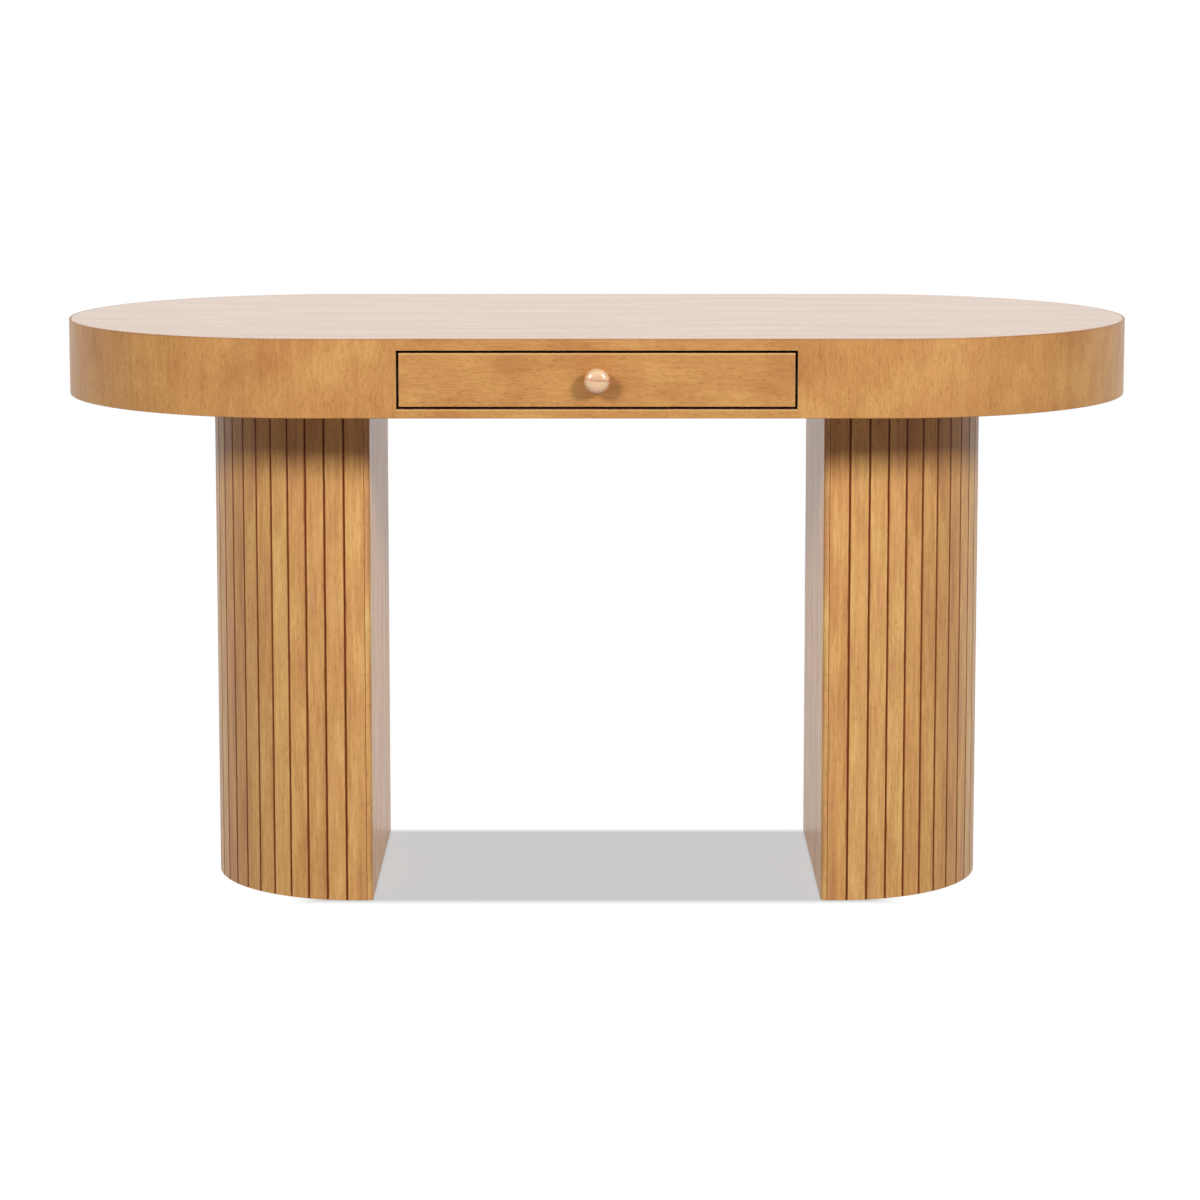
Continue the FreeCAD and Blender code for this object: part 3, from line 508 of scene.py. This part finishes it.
def painted_edge_highlight(paint, tone, level, edge_level):
    """Lightens the wood just below an upper edge: a painted highlight where the eased edge catches the
    light.
    """
    below = paint.sum("SUBTRACT", edge_level, level)
    highlight = paint.span(below, EDGE_HIGHLIGHT_FROM, EDGE_HIGHLIGHT_TO, EDGE_HIGHLIGHT_STRENGTH, 0.0)
    inside = paint.sum("GREATER_THAN", below, 0.0)
    return paint.mix(paint.sum("MULTIPLY", highlight, inside), tone, EDGE_HIGHLIGHT_TONE)


def front_veneer():
    """The drawer's face, with its four sides stained brown and painted darker for the shade where they
    stand in the gap.
    """
    paint = Paint("front_veneer")
    place = paint.place()
    marks = grain_marks(paint, grain_space(paint, place, "x"), VENEER_GRAIN, place)
    tone = wood_colour(paint, marks, VENEER_TONES, VENEER_GRAIN)
    # Painted highlight below the top edge of the drawer's face
    tone = painted_edge_highlight(paint, tone, paint.split(place)[AXES["z"]], front_high.z)
    # Stain and painted shade on the edges that stand in the gap
    facing = paint.sum("ABSOLUTE", paint.split(paint.normal())[AXES["y"]])
    edge = paint.mix(1.0, tone, EDGE_STAIN_AND_SHADE, "MULTIPLY")
    tone = paint.mix(paint.span(facing, EDGE_FACING, FACE_FACING), edge, tone)
    finish_wood(paint, tone, marks, VENEER_FINISH)
    return paint.material


def shaded_opening_faces(paint, level, beside):
    """1 on the faces inside the drawer opening, which get painted shade, and 0 elsewhere."""
    below = paint.sum("LESS_THAN", level, under_high.z - GAP_SHADE_SPILL)
    above = paint.sum("GREATER_THAN", level, top_low.z + GAP_SHADE_SPILL)
    outside = paint.sum("MAXIMUM", beside, paint.sum("MAXIMUM", below, above))
    return paint.sum("SUBTRACT", 1.0, outside)


def band_veneer():
    """Upright grain round the case, and grain along the strips over and under the drawer."""
    paint = Paint("band_veneer")
    place = paint.place()
    across, deep, level = paint.split(place)
    upright = grain_space(paint, place, "z")
    lying = grain_space(paint, place, "x")
    aside = paint.sum("GREATER_THAN", paint.sum("ABSOLUTE", across), opening_half + GAP_SHADE_SPILL)
    behind = paint.sum("GREATER_THAN", deep, plan_middle)
    beside = paint.sum("MAXIMUM", aside, behind)
    space = paint.mix(beside, lying, upright, kind="VECTOR")
    marks = grain_marks(paint, space, VENEER_GRAIN, place)
    tone = wood_colour(paint, marks, VENEER_TONES, VENEER_GRAIN)
    rim = paint.span(level, band_high.z - RIM_FROM, band_high.z - RIM_TO, 0.0, RIM_STRENGTH)
    tone = paint.mix(rim, tone, RIM_TONE)
    # Painted highlight on the strip under the drawer, just below the sill of the opening
    tone = paint.mix(beside, painted_edge_highlight(paint, tone, level, under_high.z), tone)
    # Painted shade, near black, on the faces inside the drawer opening
    tone = paint.mix(shaded_opening_faces(paint, level, beside), tone, GAP_PAINTED_SHADE)
    finish_wood(paint, tone, marks, VENEER_FINISH)
    return paint.material


def slat_wood(name, finish):
    """Upright strips, each with its own tone and grain, and dark stain with painted shade in the
    grooves.
    """
    paint = Paint(name)
    level = paint.split(paint.place())[AXES["z"]]
    across, number, choice, edge, pin_place = (paint.attribute(layer) for layer in SLAT_LAYERS)
    apart = paint.sum("ADD", across, paint.sum("MULTIPLY", number, SLAT_GRAIN_APART))
    behind = paint.sum("MULTIPLY", number, SLAT_GRAIN_BEHIND)
    space = paint.join(apart, behind, level)
    marks = grain_marks(paint, space, SLAT_GRAIN)
    pale = wood_colour(paint, marks, SLAT_PALE_TONES, SLAT_GRAIN)
    deep = wood_colour(paint, marks, SLAT_DEEP_TONES, SLAT_GRAIN)
    tone = paint.mix(choice, pale, deep)
    smudge = paint.noise(paint.scaled(space, (1, 1, SMUDGE_SHARE)), SMUDGE_SIZE)
    reach = paint.span(smudge, *SMUDGE_SPAN, STAIN_AND_SHADE_REACH, STAIN_AND_SHADE_REACH + STAIN_AND_SHADE_SMUDGE)
    reach = paint.sum("MULTIPLY_ADD", choice, STAIN_AND_SHADE_REACH_DEEP, reach)
    # Stain and painted shade in the grooves, wider on slats of a deep tone and where smudged
    stain_and_shade = paint.span(edge, STAIN_AND_SHADE_CORE, reach, STAIN_AND_SHADE_STRENGTH, 0.0)
    tone = paint.mix(stain_and_shade, tone, STAIN_AND_SHADE_TONE)
    aside = paint.sum("SUBTRACT", across, pin_place)
    below = paint.sum("SUBTRACT", slat_top - PIN_DEPTH, level)
    off = paint.length(paint.join(aside, below, 0.0))
    pin = paint.span(off, PIN_CORE_RADIUS, PIN_RADIUS, 1.0, 0.0)
    tone = paint.mix(pin, tone, PIN_TONE)
    finish_wood(paint, tone, marks, finish)
    return paint.material


def pale_maple():
    """Clear maple with one darker line of grain across the middle of the knob."""
    paint = Paint("pale_maple")
    place = paint.place()
    marks = grain_marks(paint, grain_space(paint, place, "x"), KNOB_GRAIN)
    tone = wood_colour(paint, marks, MAPLE_TONES, KNOB_GRAIN)
    parts = paint.split(place)
    middle = (knob_low.z + knob_high.z) / 2 + STRIPE_LEVEL
    line = paint.sum("MULTIPLY_ADD", parts[AXES["x"]], STRIPE_SLOPE, middle)
    line = paint.sum("MULTIPLY_ADD", marks["patch"], STRIPE_HALF, line)
    off = paint.sum("ABSOLUTE", paint.sum("SUBTRACT", parts[AXES["z"]], line))
    stripe = paint.span(off, 0.0, STRIPE_HALF, STRIPE_STRENGTH, 0.0)
    finish_wood(paint, paint.mix(stripe, tone, STRIPE_TONE), marks, KNOB_FINISH)
    paint.set(Subsurface_Weight=KNOB_DEPTH)
    paint.set(Subsurface_Scale=KNOB_GLOW)
    paint.set(Subsurface_Radius=KNOB_GLOW_SHARES)
    return paint.material


def birch(name, along):
    """Plain sanded birch with its grain along one axis."""
    paint = Paint(name)
    marks = grain_marks(paint, grain_space(paint, paint.place(), along), BIRCH_GRAIN)
    tone = wood_colour(paint, marks, BIRCH_TONES, BIRCH_GRAIN)
    finish_wood(paint, tone, marks, BIRCH_FINISH)
    return paint.material


def flat_layers(paint, parts, normals, through):
    """How deep a place lies in a flat board's layers, and 1 on its broad sides."""
    axis = AXES[through]
    return parts[axis], paint.sum("ABSOLUTE", normals[axis])


def bent_layers(paint, parts, normals, middle):
    """The same for a board that is bent round the upright axis with its X at middle."""
    aside = paint.sum("SUBTRACT", parts[AXES["x"]], middle)
    inward = paint.sum("SUBTRACT", parts[AXES["y"]], plan_middle)
    depth = paint.length(paint.join(aside, inward, 0.0))
    return depth, paint.sum("SUBTRACT", 1.0, paint.sum("ABSOLUTE", normals[AXES["z"]]))


def plywood(name, through, middle=None):
    """Face veneer on the broad sides and layers on the edges, stacked along the axis through.

    A round board is bent round an upright axis with its X at middle.
    """
    paint = Paint(name)
    place = paint.place()
    parts = paint.split(place)
    normals = paint.split(paint.normal())
    if through == "round":
        depth, facing = bent_layers(paint, parts, normals, middle)
    else:
        depth, facing = flat_layers(paint, parts, normals, through)
    marks = grain_marks(paint, grain_space(paint, place, PLY_FACE_GRAIN[through]), BIRCH_GRAIN)
    face = wood_colour(paint, marks, PLY_TONES, BIRCH_GRAIN)
    beat = paint.sum("PINGPONG", paint.sum("DIVIDE", depth, PLY_PITCH), 1.0)
    layers = paint.mix(paint.span(beat, *PLY_SPAN), face, PLY_DARK)
    tone = paint.mix(paint.span(facing, *PLY_FACING), layers, face)
    finish_wood(paint, tone, marks, PLY_FINISH)
    return paint.material


# Metal and plastic

def metal(name, tone, roughness, mottle_size):
    """Metal with soft darker clouds that are also a little duller."""
    paint = Paint(name)
    place = paint.place()
    mottle = paint.noise(place, mottle_size, MOTTLE_DETAIL, SPECKLE_ROUGHNESS)
    fine = paint.noise(place, mottle_size / MOTTLE_TO_FINE)
    dark_tone = (*(level * MOTTLE_SHARE for level in tone[:-1]), 1.0)
    paint.set(Base_Color=paint.mix(paint.span(mottle, *MOTTLE_SPAN), tone, dark_tone))
    paint.set(Metallic=1.0)
    paint.set(Roughness=paint.span(mottle, *MOTTLE_SPAN, roughness, roughness + METAL_DULLING))
    paint.set(Normal=paint.bump(fine, METAL_RELIEF))
    return paint.material


def plastic(name, tone, dark_tone, roughness):
    """Moulded plastic with the fine speckle of its tool."""
    paint = Paint(name)
    speckle = paint.noise(paint.place(), SPECKLE_SIZE, PLAIN_DETAIL, SPECKLE_ROUGHNESS)
    shade = paint.span(speckle, *SPECKLE_SPAN, 0.0, SPECKLE_STRENGTH)
    dull = roughness + PLASTIC_DULLING
    paint.set(Base_Color=paint.mix(shade, tone, dark_tone))
    paint.set(Roughness=paint.span(speckle, *SPECKLE_GLOSS_SPAN, roughness, dull))
    paint.set(Normal=paint.bump(speckle, PLASTIC_RELIEF))
    return paint.material


# Meshes

def add_piece(name, form, body, nodes, material):
    """Turns a bmesh into a piece that rides on a body and stands for the CAD nodes."""
    bmesh.ops.recalc_face_normals(form, faces=form.faces)
    mesh = bpy.data.meshes.new(name)
    form.to_mesh(mesh)
    form.free()
    mesh.shade_smooth()
    mesh.set_sharp_from_angle(angle=math.radians(CREASE_ANGLE))
    item = bpy.data.objects.new(name, mesh)
    bpy.context.scene.collection.objects.link(item)
    item.data.materials.append(material)
    weigh = item.modifiers.new("face_normals", "WEIGHTED_NORMAL")
    weigh.keep_sharp = True
    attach(item, body)
    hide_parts(*nodes)
    return item


def ease(form, edges, width, segments=EASING_SEGMENTS):
    bmesh.ops.bevel(
        form,
        geom=edges,
        offset=width,
        offset_type="OFFSET",
        segments=segments,
        profile=ROUND_PROFILE,
        affect="EDGES",
        clamp_overlap=True,
    )


def bridge(form, first, second, column, after):
    """One face between two rings of points, from one column to another."""
    form.faces.new((first[column], first[after], second[after], second[column]))


def column_form(form, lower, upper):
    """A closed upright form between two rings of points."""
    count = len(lower)
    for column in range(count):
        bridge(form, lower, upper, column, (column + 1) % count)
    form.faces.new(lower)
    form.faces.new(upper)


def edges_among(form, points):
    """The edges that have both their ends among the points."""
    wanted = set(points)
    return [edge for edge in form.edges if edge.verts[0] in wanted and edge.verts[1] in wanted]


# Case

def oval(radius, front_stops=()):
    """Points of the case's oval, anticlockwise from the front of the right-hand end."""
    points = []
    for end, first in ((end_middle, -QUARTER_TURN), (-end_middle, QUARTER_TURN)):
        for step in range(END_STEPS + 1):
            turn = first + HALF_TURN * step / END_STEPS
            points.append((end + radius * math.cos(turn), plan_middle + radius * math.sin(turn)))
    for stop in front_stops:
        points.append((stop, plan_middle - radius))
    return points


def ring_of(form, points, level):
    return [form.verts.new((x, y, level)) for x, y in points]


def panel(name, low, high, node, material):
    """An oval panel whose rims are barely eased, so that a hairline shows round it."""
    form = bmesh.new()
    points = oval(panel_radius)
    lower = ring_of(form, points, low)
    upper = ring_of(form, points, high)
    column_form(form, lower, upper)
    bmesh.ops.recalc_face_normals(form, faces=form.faces)
    ease(form, edges_among(form, lower) + edges_among(form, upper), SEAM_EASING, 1)
    return add_piece(name, form, "case", [node], material)


def case_band(material):
    """The bent band: its outer rims and the edges of the drawer opening are eased."""
    form = bmesh.new()
    stops = (-opening_half, opening_half)
    levels = (band_low.z, under_high.z, top_low.z, band_high.z)
    low_rim, sill, lintel, high_rim = range(len(levels))
    outer_rings = [ring_of(form, oval(case_radius, stops), level) for level in levels]
    inner_rings = [ring_of(form, oval(panel_radius, stops), level) for level in levels]
    count = len(outer_rings[low_rim])
    hole_start = count - len(stops)
    hole_end = hole_start + 1
    for column in range(count):
        after = (column + 1) % count
        for row in range(high_rim):
            if column == hole_start and row == sill:
                continue
            for rings in (outer_rings, inner_rings):
                bridge(form, rings[row], rings[row + 1], column, after)
        for row in (low_rim, high_rim):
            bridge(form, outer_rings[row], inner_rings[row], column, after)
    for row in (sill, lintel):
        bridge(form, outer_rings[row], inner_rings[row], hole_start, hole_end)
    for column in (hole_start, hole_end):
        outer_side = [outer_rings[row][column] for row in (sill, lintel)]
        inner_side = [inner_rings[row][column] for row in (lintel, sill)]
        form.faces.new(outer_side + inner_side)
    bmesh.ops.recalc_face_normals(form, faces=form.faces)
    hole_corners = [outer_rings[row][hole_start] for row in (sill, lintel)]
    hole_corners += [outer_rings[row][hole_end] for row in (sill, lintel)]
    hole_edges = edges_among(form, hole_corners)
    outer_rims = edges_among(form, outer_rings[low_rim] + outer_rings[high_rim])
    inner_rims = edges_among(form, inner_rings[low_rim] + inner_rings[high_rim])
    ease(form, hole_edges + outer_rims, BAND_EASING)
    ease(form, [edge for edge in inner_rims if edge.is_valid], SEAM_EASING, 1)
    return add_piece("case_band", form, "case", ["edge_band"], material)


# Drawer

def drawer_face(material):
    """The drawer's front board with all its edges eased."""
    form = bmesh.new()
    bmesh.ops.create_cube(form, size=1)
    for vert in form.verts:
        for axis in AXES.values():
            vert.co[axis] = front_low[axis] if vert.co[axis] < 0 else front_high[axis]
    ease(form, list(form.edges), FRONT_EASING)
    return add_piece("drawer_face", form, "drawer", ["drawer_front"], material)


def line_weights(share):
    """How much four neighbouring points each give to a Catmull-Rom line.

    The share says how far along the stretch between the middle two points it is.
    """
    square = share * share
    cube = square * share
    return (
        (2 * square - share - cube) / 2,
        (2 - 5 * square + 3 * cube) / 2,
        (share + 4 * square - 3 * cube) / 2,
        (cube - square) / 2,
    )


def smooth_line(points, steps):
    """A smooth line through the points, in some steps a stretch, without its last point."""
    padded = (points[0], *points, points[-1])
    line = []
    for neighbours in zip(padded, padded[1:], padded[2:], padded[3:]):
        for step in range(steps):
            weights = line_weights(step / steps)
            line.append([
                sum(weight * place for weight, place in zip(weights, places))
                for places in zip(*neighbours)
            ])
    return line


def turned_knob(material):
    """A turned mushroom knob on the drawer front."""
    form = bmesh.new()
    head_radius = (knob_high.x - knob_low.x) / 2
    middle = (knob_low.x + knob_high.x) / 2
    level = (knob_low.z + knob_high.z) / 2
    whole_reach = knob_high.y - knob_low.y
    rings = []
    for radius_share, reach_share in smooth_line(KNOB_PROFILE_SHARES, KNOB_CURVE_STEPS):
        depth = knob_high.y - whole_reach * reach_share
        # The line swings a little past its widest point, where the head's own radius holds
        radius = min(1.0, radius_share) * head_radius
        ring = []
        for step in range(KNOB_STEPS):
            turn = FULL_TURN * step / KNOB_STEPS
            aside = radius * math.cos(turn)
            above = radius * math.sin(turn)
            ring.append(form.verts.new((middle + aside, depth, level + above)))
        rings.append(ring)
    tip = form.verts.new((middle, knob_low.y, level))
    for inner, outer in zip(rings, rings[1:]):
        for step in range(KNOB_STEPS):
            bridge(form, inner, outer, step, (step + 1) % KNOB_STEPS)
    last = rings[-1]
    for step in range(KNOB_STEPS):
        form.faces.new((last[step], last[(step + 1) % KNOB_STEPS], tip))
    form.faces.new(rings[0])
    return add_piece("turned_knob", form, "drawer", ["drawer_knob"], material)


# Slats

class Leg:
    """Sizes of one leg, read from the frame, and the draw of its slats' tones."""

    def __init__(self, side):
        low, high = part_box("leg_curved_slats_" + side)
        flat_low, flat_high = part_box("leg_inner_slats_" + side)
        self.side = side
        self.sign = SIDES[side]
        self.levels = (low.z, high.z)
        self.radius = (high.y - low.y) / 2
        self.thickness = flat_high.x - flat_low.x
        self.inner_face = min(abs(flat_low.x), abs(flat_high.x))
        self.middle = self.inner_face + LEG_STRAIGHT
        self.draw = random.Random("slats " + side)


def slat_section(face_half, back_half, thickness, easings):
    """Cross-section of a slat: depth from its back, place across it and how far it is from the stain
    and painted shade.

    Only the edges with the usual easing stand in a groove with stain and painted shade.
    """
    section = [(0.0, -back_half, -thickness)]
    for side, easing in zip((-1, 1), easings):
        steps = CORNER_SEGMENTS if easing > SLAT_EASING else EASING_SEGMENTS
        arc = []
        for step in range(steps + 1):
            turn = QUARTER_TURN * step / steps
            depth = thickness - easing + easing * math.sin(turn)
            across = side * (face_half - easing + easing * math.cos(turn))
            from_groove = face_half - abs(across) - (thickness - depth)
            if easing != SLAT_EASING:
                from_groove = thickness
            arc.append((depth, across, from_groove))
        if side > 0:
            section.append((thickness, 0.0, face_half))
            arc.reverse()
        section.extend(arc)
    section.append((0.0, back_half, -thickness))
    return section


def slat_form():
    form = bmesh.new()
    layers = [form.verts.layers.float.new(name) for name in SLAT_LAYERS]
    return form, layers


def add_slat(form, layers, levels, section, origin, outward, sideways, number, tone, pin=NO_PIN):
    """Extrudes one slat's cross-section from the lower to the upper level."""
    rings = []
    for level in levels:
        ring = []
        for depth, across, from_groove in section:
            spot = origin + outward * depth + sideways * across
            vert = form.verts.new((spot.x, spot.y, level))
            for layer, value in zip(layers, (across, number, tone, from_groove, pin)):
                vert[layer] = value
            ring.append(vert)
        rings.append(ring)
    column_form(form, *rings)


def round_slats(leg, material):
    """The slats round one leg: equal ones on the arc, and a flat one at each end of it."""
    form, layers = slat_form()
    half_gap = SLAT_GAP / 2
    skin_radius = leg.radius - leg.thickness
    slat_run = 2 * (LEG_STRAIGHT - leg.thickness) + HALF_TURN * leg.radius
    slat_turn = slat_run / ROUND_SLAT_COUNT / leg.radius
    arc_count = ROUND_SLAT_COUNT - 2
    centre = Vector((leg.sign * leg.middle, plan_middle, 0.0))

    face_half = leg.radius * math.sin(slat_turn / 2) - half_gap
    back_half = skin_radius * math.sin(slat_turn / 2) - half_gap
    arc_thickness = leg.radius * math.cos(slat_turn / 2) - skin_radius
    section = slat_section(face_half, back_half, arc_thickness, (SLAT_EASING, SLAT_EASING))
    for number in range(arc_count):
        turn = slat_turn * (number - (arc_count - 1) / 2)
        outward = Vector((leg.sign * math.cos(turn), math.sin(turn), 0.0))
        sideways = Vector((-leg.sign * math.sin(turn), math.cos(turn), 0.0))
        origin = centre + outward * skin_radius
        tone = leg.draw.random()
        pinned = leg.side == "right" and number < len(ARC_PIN_SHARES)
        pin = ARC_PIN_SHARES[number] * face_half if pinned else NO_PIN
        add_slat(form, layers, leg.levels, section, origin, outward, sideways, number, tone, pin)

    near = leg.inner_face + leg.thickness + half_gap - leg.middle
    far = leg.radius * math.sin(QUARTER_TURN - slat_turn * arc_count / 2) - half_gap
    end_half = (far - near) / 2
    section = slat_section(end_half, end_half, leg.thickness, (CORNER_SEAM_EASING, SLAT_EASING))
    sideways = Vector((leg.sign, 0.0, 0.0))
    for number, facing in enumerate((-1, 1), arc_count):
        outward = Vector((0.0, facing, 0.0))
        origin = centre + sideways * (near + far) / 2 + outward * skin_radius
        tone = leg.draw.random()
        pinned = leg.side == "right" and facing < 0
        pin = END_PIN_SHARE * end_half if pinned else NO_PIN
        add_slat(form, layers, leg.levels, section, origin, outward, sideways, number, tone, pin)
    name = "leg_round_slats_" + leg.side
    add_piece(name, form, "case", ["leg_curved_slats_" + leg.side], material)


def flat_slats(leg, material):
    """The slats of a leg's inner face, with a rounded corner at the front and at the back."""
    form, layers = slat_form()
    pitch = 2 * leg.radius / FLAT_SLAT_COUNT
    face_half = (pitch - SLAT_GAP) / 2
    outward = Vector((-leg.sign, 0.0, 0.0))
    sideways = Vector((0.0, 1.0, 0.0))
    front, back = 0, FLAT_SLAT_COUNT - 1
    for index in range(FLAT_SLAT_COUNT):
        first = LEG_CORNER_RADIUS if index == front else SLAT_EASING
        last = LEG_CORNER_RADIUS if index == back else SLAT_EASING
        section = slat_section(face_half, face_half, leg.thickness, (first, last))
        offset = pitch * (index - back / 2)
        origin = Vector((leg.sign * (leg.inner_face + leg.thickness), plan_middle + offset, 0.0))
        tone = CORNER_TONE if index in (front, back) else leg.draw.random()
        number = ROUND_SLAT_COUNT + index
        add_slat(form, layers, leg.levels, section, origin, outward, sideways, number, tone)
    name = "leg_flat_slats_" + leg.side
    add_piece(name, form, "case", ["leg_inner_slats_" + leg.side], material)


# Camera, stage and light

def set_camera():
    data = bpy.data.cameras.new("camera")
    data.lens = CAMERA_LENS
    data.sensor_width = CAMERA_SENSOR
    data.shift_y = CAMERA_SHIFT
    camera = bpy.data.objects.new("camera", data)
    camera.location = CAMERA_PLACE
    camera.rotation_euler = (math.radians(CAMERA_PITCH), 0.0, math.radians(CAMERA_YAW))
    bpy.context.scene.collection.objects.link(camera)
    bpy.context.scene.camera = camera


def seen_rays(nodes):
    """1 for rays from the camera, in gloss and through glass, 0 for the light that falls on things."""
    path = nodes.add("ShaderNodeLightPath", {})
    seen = nodes.sum("MAXIMUM", path.outputs["Is Camera Ray"], path.outputs["Is Glossy Ray"])
    return nodes.sum("MAXIMUM", seen, path.outputs["Is Transmission Ray"])


def floor_paint():
    """A pale floor that is seen as white away from the desk and keeps the desk's shadow."""
    paint = Paint("floor")
    paint.tree.nodes.remove(paint.shader)
    output = paint.tree.nodes["Material Output"]
    seen = seen_rays(paint)
    parts = paint.split(paint.shifted(paint.place(), (0.0, -plan_middle, 0.0)))
    leg_low, leg_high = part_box("leg_base_former_right")
    leg_half = (leg_high.y - leg_low.y) / 2
    sideways = paint.sum("ABSOLUTE", parts[AXES["x"]])
    aside = paint.span(sideways, leg_low.x + SHADOW_SOFT_EDGE, leg_low.x + leg_half / 2)
    forwards = paint.sum("ABSOLUTE", parts[AXES["y"]])
    ahead = paint.span(forwards, leg_half, leg_half + SHADOW_SOFT_EDGE)
    far = paint.sum("MULTIPLY", paint.sum("MAXIMUM", aside, ahead), seen)
    lift = paint.sum("MULTIPLY", seen, FLOOR_LIFT)
    shade = paint.span(seen, 0.0, 1.0, FLOOR_BOUNCE, FLOOR_SHADE)
    matt = paint.add("ShaderNodeBsdfDiffuse", {"Color": paint.join(shade, shade, shade)})
    glow = paint.add("ShaderNodeEmission", {"Color": FLOOR_GLOW, "Strength": lift})
    near = paint.add("ShaderNodeAddShader", {0: matt.outputs[0], 1: glow.outputs[0]})
    white = paint.add("ShaderNodeEmission", {"Color": WHITE, "Strength": 1.0})
    mixed = paint.add("ShaderNodeMixShader", {0: far, 1: near.outputs[0], 2: white.outputs[0]})
    paint.feed(output.inputs["Surface"], mixed.outputs[0])
    return paint.material


def set_floor():
    form = bmesh.new()
    half = FLOOR_HALF
    corners = ((-half, -half), (half, -half), (half, half), (-half, half))
    form.faces.new(ring_of(form, corners, 0.0))
    mesh = bpy.data.meshes.new("floor")
    form.to_mesh(mesh)
    form.free()
    floor = bpy.data.objects.new("floor", mesh)
    floor.data.materials.append(floor_paint())
    bpy.context.scene.collection.objects.link(floor)
    return floor


def set_world():
    """White where it is seen, and a plain soft light elsewhere."""
    world = bpy.data.worlds.new("studio")
    bpy.context.scene.world = world
    world.use_nodes = True
    nodes = Nodes(world.node_tree)
    background = nodes.tree.nodes["Background"]
    strength = nodes.span(seen_rays(nodes), 0.0, 1.0, WORLD_LIGHT, 1.0)
    nodes.feed(background.inputs["Color"], WHITE)
    nodes.feed(background.inputs["Strength"], strength)


def light_group(name, state, *items):
    """A collection that a lamp reaches alone, or that it leaves out."""
    group = bpy.data.collections.new(name)
    for item in items:
        group.objects.link(item)
    for member in group.collection_objects:
        member.light_linking.link_state = state
    return group


def add_light(name, place, size, power, receivers, in_gloss=False):
    """A rectangular lamp that points to the heart of the desk and lights only its receivers."""
    data = bpy.data.lights.new(name, "AREA")
    data.shape = "RECTANGLE"
    data.size, data.size_y = size
    data.energy = power
    lamp = bpy.data.objects.new(name, data)
    lamp.location = place
    lamp.rotation_euler = (DESK_HEART - place).to_track_quat("-Z", "Y").to_euler()
    lamp.light_linking.receiver_collection = receivers
    lamp.visible_glossy = in_gloss
    bpy.context.scene.collection.objects.link(lamp)


def set_lights(floor, surface):
    """Softboxes for the desk, fills, and one light each for the floor and the writing surface.

    The softboxes are flagged off the floor, where they would throw fans of shadow, and off the
    writing surface, where they would glare in the lacquer. They alone show in gloss.
    """
    desk_sides = light_group("desk_sides", "EXCLUDE", floor, surface)
    desk = light_group("desk", "EXCLUDE", floor)
    floor_alone = light_group("floor_alone", "INCLUDE", floor)
    surface_alone = light_group("surface_alone", "INCLUDE", surface)
    add_light("softbox_left", *SOFTBOX_LEFT, desk_sides, in_gloss=True)
    add_light("softbox_right", *SOFTBOX_RIGHT, desk_sides, in_gloss=True)
    add_light("overhead", *OVERHEAD, desk)
    add_light("back_fill", *BACK_FILL, desk)
    add_light("floor_light", *FLOOR_LIGHT, floor_alone)
    add_light("surface_light", *SURFACE_LIGHT, surface_alone)


# Materials of the CAD nodes that stay

def dress(material, *nodes):
    for node in nodes:
        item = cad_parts[node]
        item.data.materials.clear()
        item.data.materials.append(material)


def both(*names):
    return [name + "_" + side for name in names for side in SIDES]


def dress_frame(legs):
    lying_boards = both("leg_top_plate", "leg_mid_former", "leg_base_former", "leg_battens")
    dress(plywood("plywood_flat", "z"), *lying_boards)
    dress(plywood("plywood_across", "x"), *both("drawer_guide", "leg_inner_panel"))
    dress(plywood("plywood_deep", "y"), *both("front_rail"), "back_rail")
    dress(plywood("softwood_posts", "z"), *both("leg_corner_posts"))
    for leg in legs:
        apron = plywood("plywood_apron_" + leg.side, "round", leg.sign * end_middle)
        skin = plywood("plywood_skin_" + leg.side, "round", leg.sign * leg.middle)
        dress(apron, "end_apron_" + leg.side)
        dress(skin, "leg_curved_skin_" + leg.side)
    dress(birch("birch_lengthways", "y"), *both("drawer_side"))
    dress(birch("birch_crossways", "x"), "drawer_back", "drawer_bottom", "drawer_dowels")
    dress(metal("black_zinc", *BLACK_ZINC), *both("cabinet_rail", "mid_rail", "drawer_rail"))
    fastener = metal("zinc_fasteners", *BRIGHT_ZINC)
    dress(fastener, "cabinet_rail_screws", "drawer_rail_screws", "knob_screw")
    dress(fastener, "threaded_inserts", *both("leg_bolts", "leg_washers"))
    dress(metal("bearing_steel", *BEARING_STEEL), *both("outer_balls", "inner_balls"))
    dress(plastic("cage_plastic", *CAGE_PLASTIC), *both("outer_ball_cage", "inner_ball_cage"))
    dress(plastic("glide_plastic", *GLIDE_PLASTIC), *both("leg_glides"))


# The scene

bpy.context.scene.view_settings.view_transform = "Standard"
set_camera()
set_world()

panel_wood = panel_veneer()
case_band(band_veneer())
writing_surface = panel("writing_surface", top_low.z, top_high.z, "top_panel", panel_wood)
panel("case_underside", under_low.z, under_high.z, "bottom_panel", panel_wood)
drawer_face(front_veneer())
turned_knob(pale_maple())

outer_slat_wood = slat_wood("slat_wood", SLAT_FINISH)
inner_slat_wood = slat_wood("inner_slat_wood", INNER_SLAT_FINISH)
legs = [Leg(side) for side in SIDES]
for leg in legs:
    round_slats(leg, outer_slat_wood)
    flat_slats(leg, inner_slat_wood)
dress_frame(legs)
set_lights(set_floor(), writing_surface)
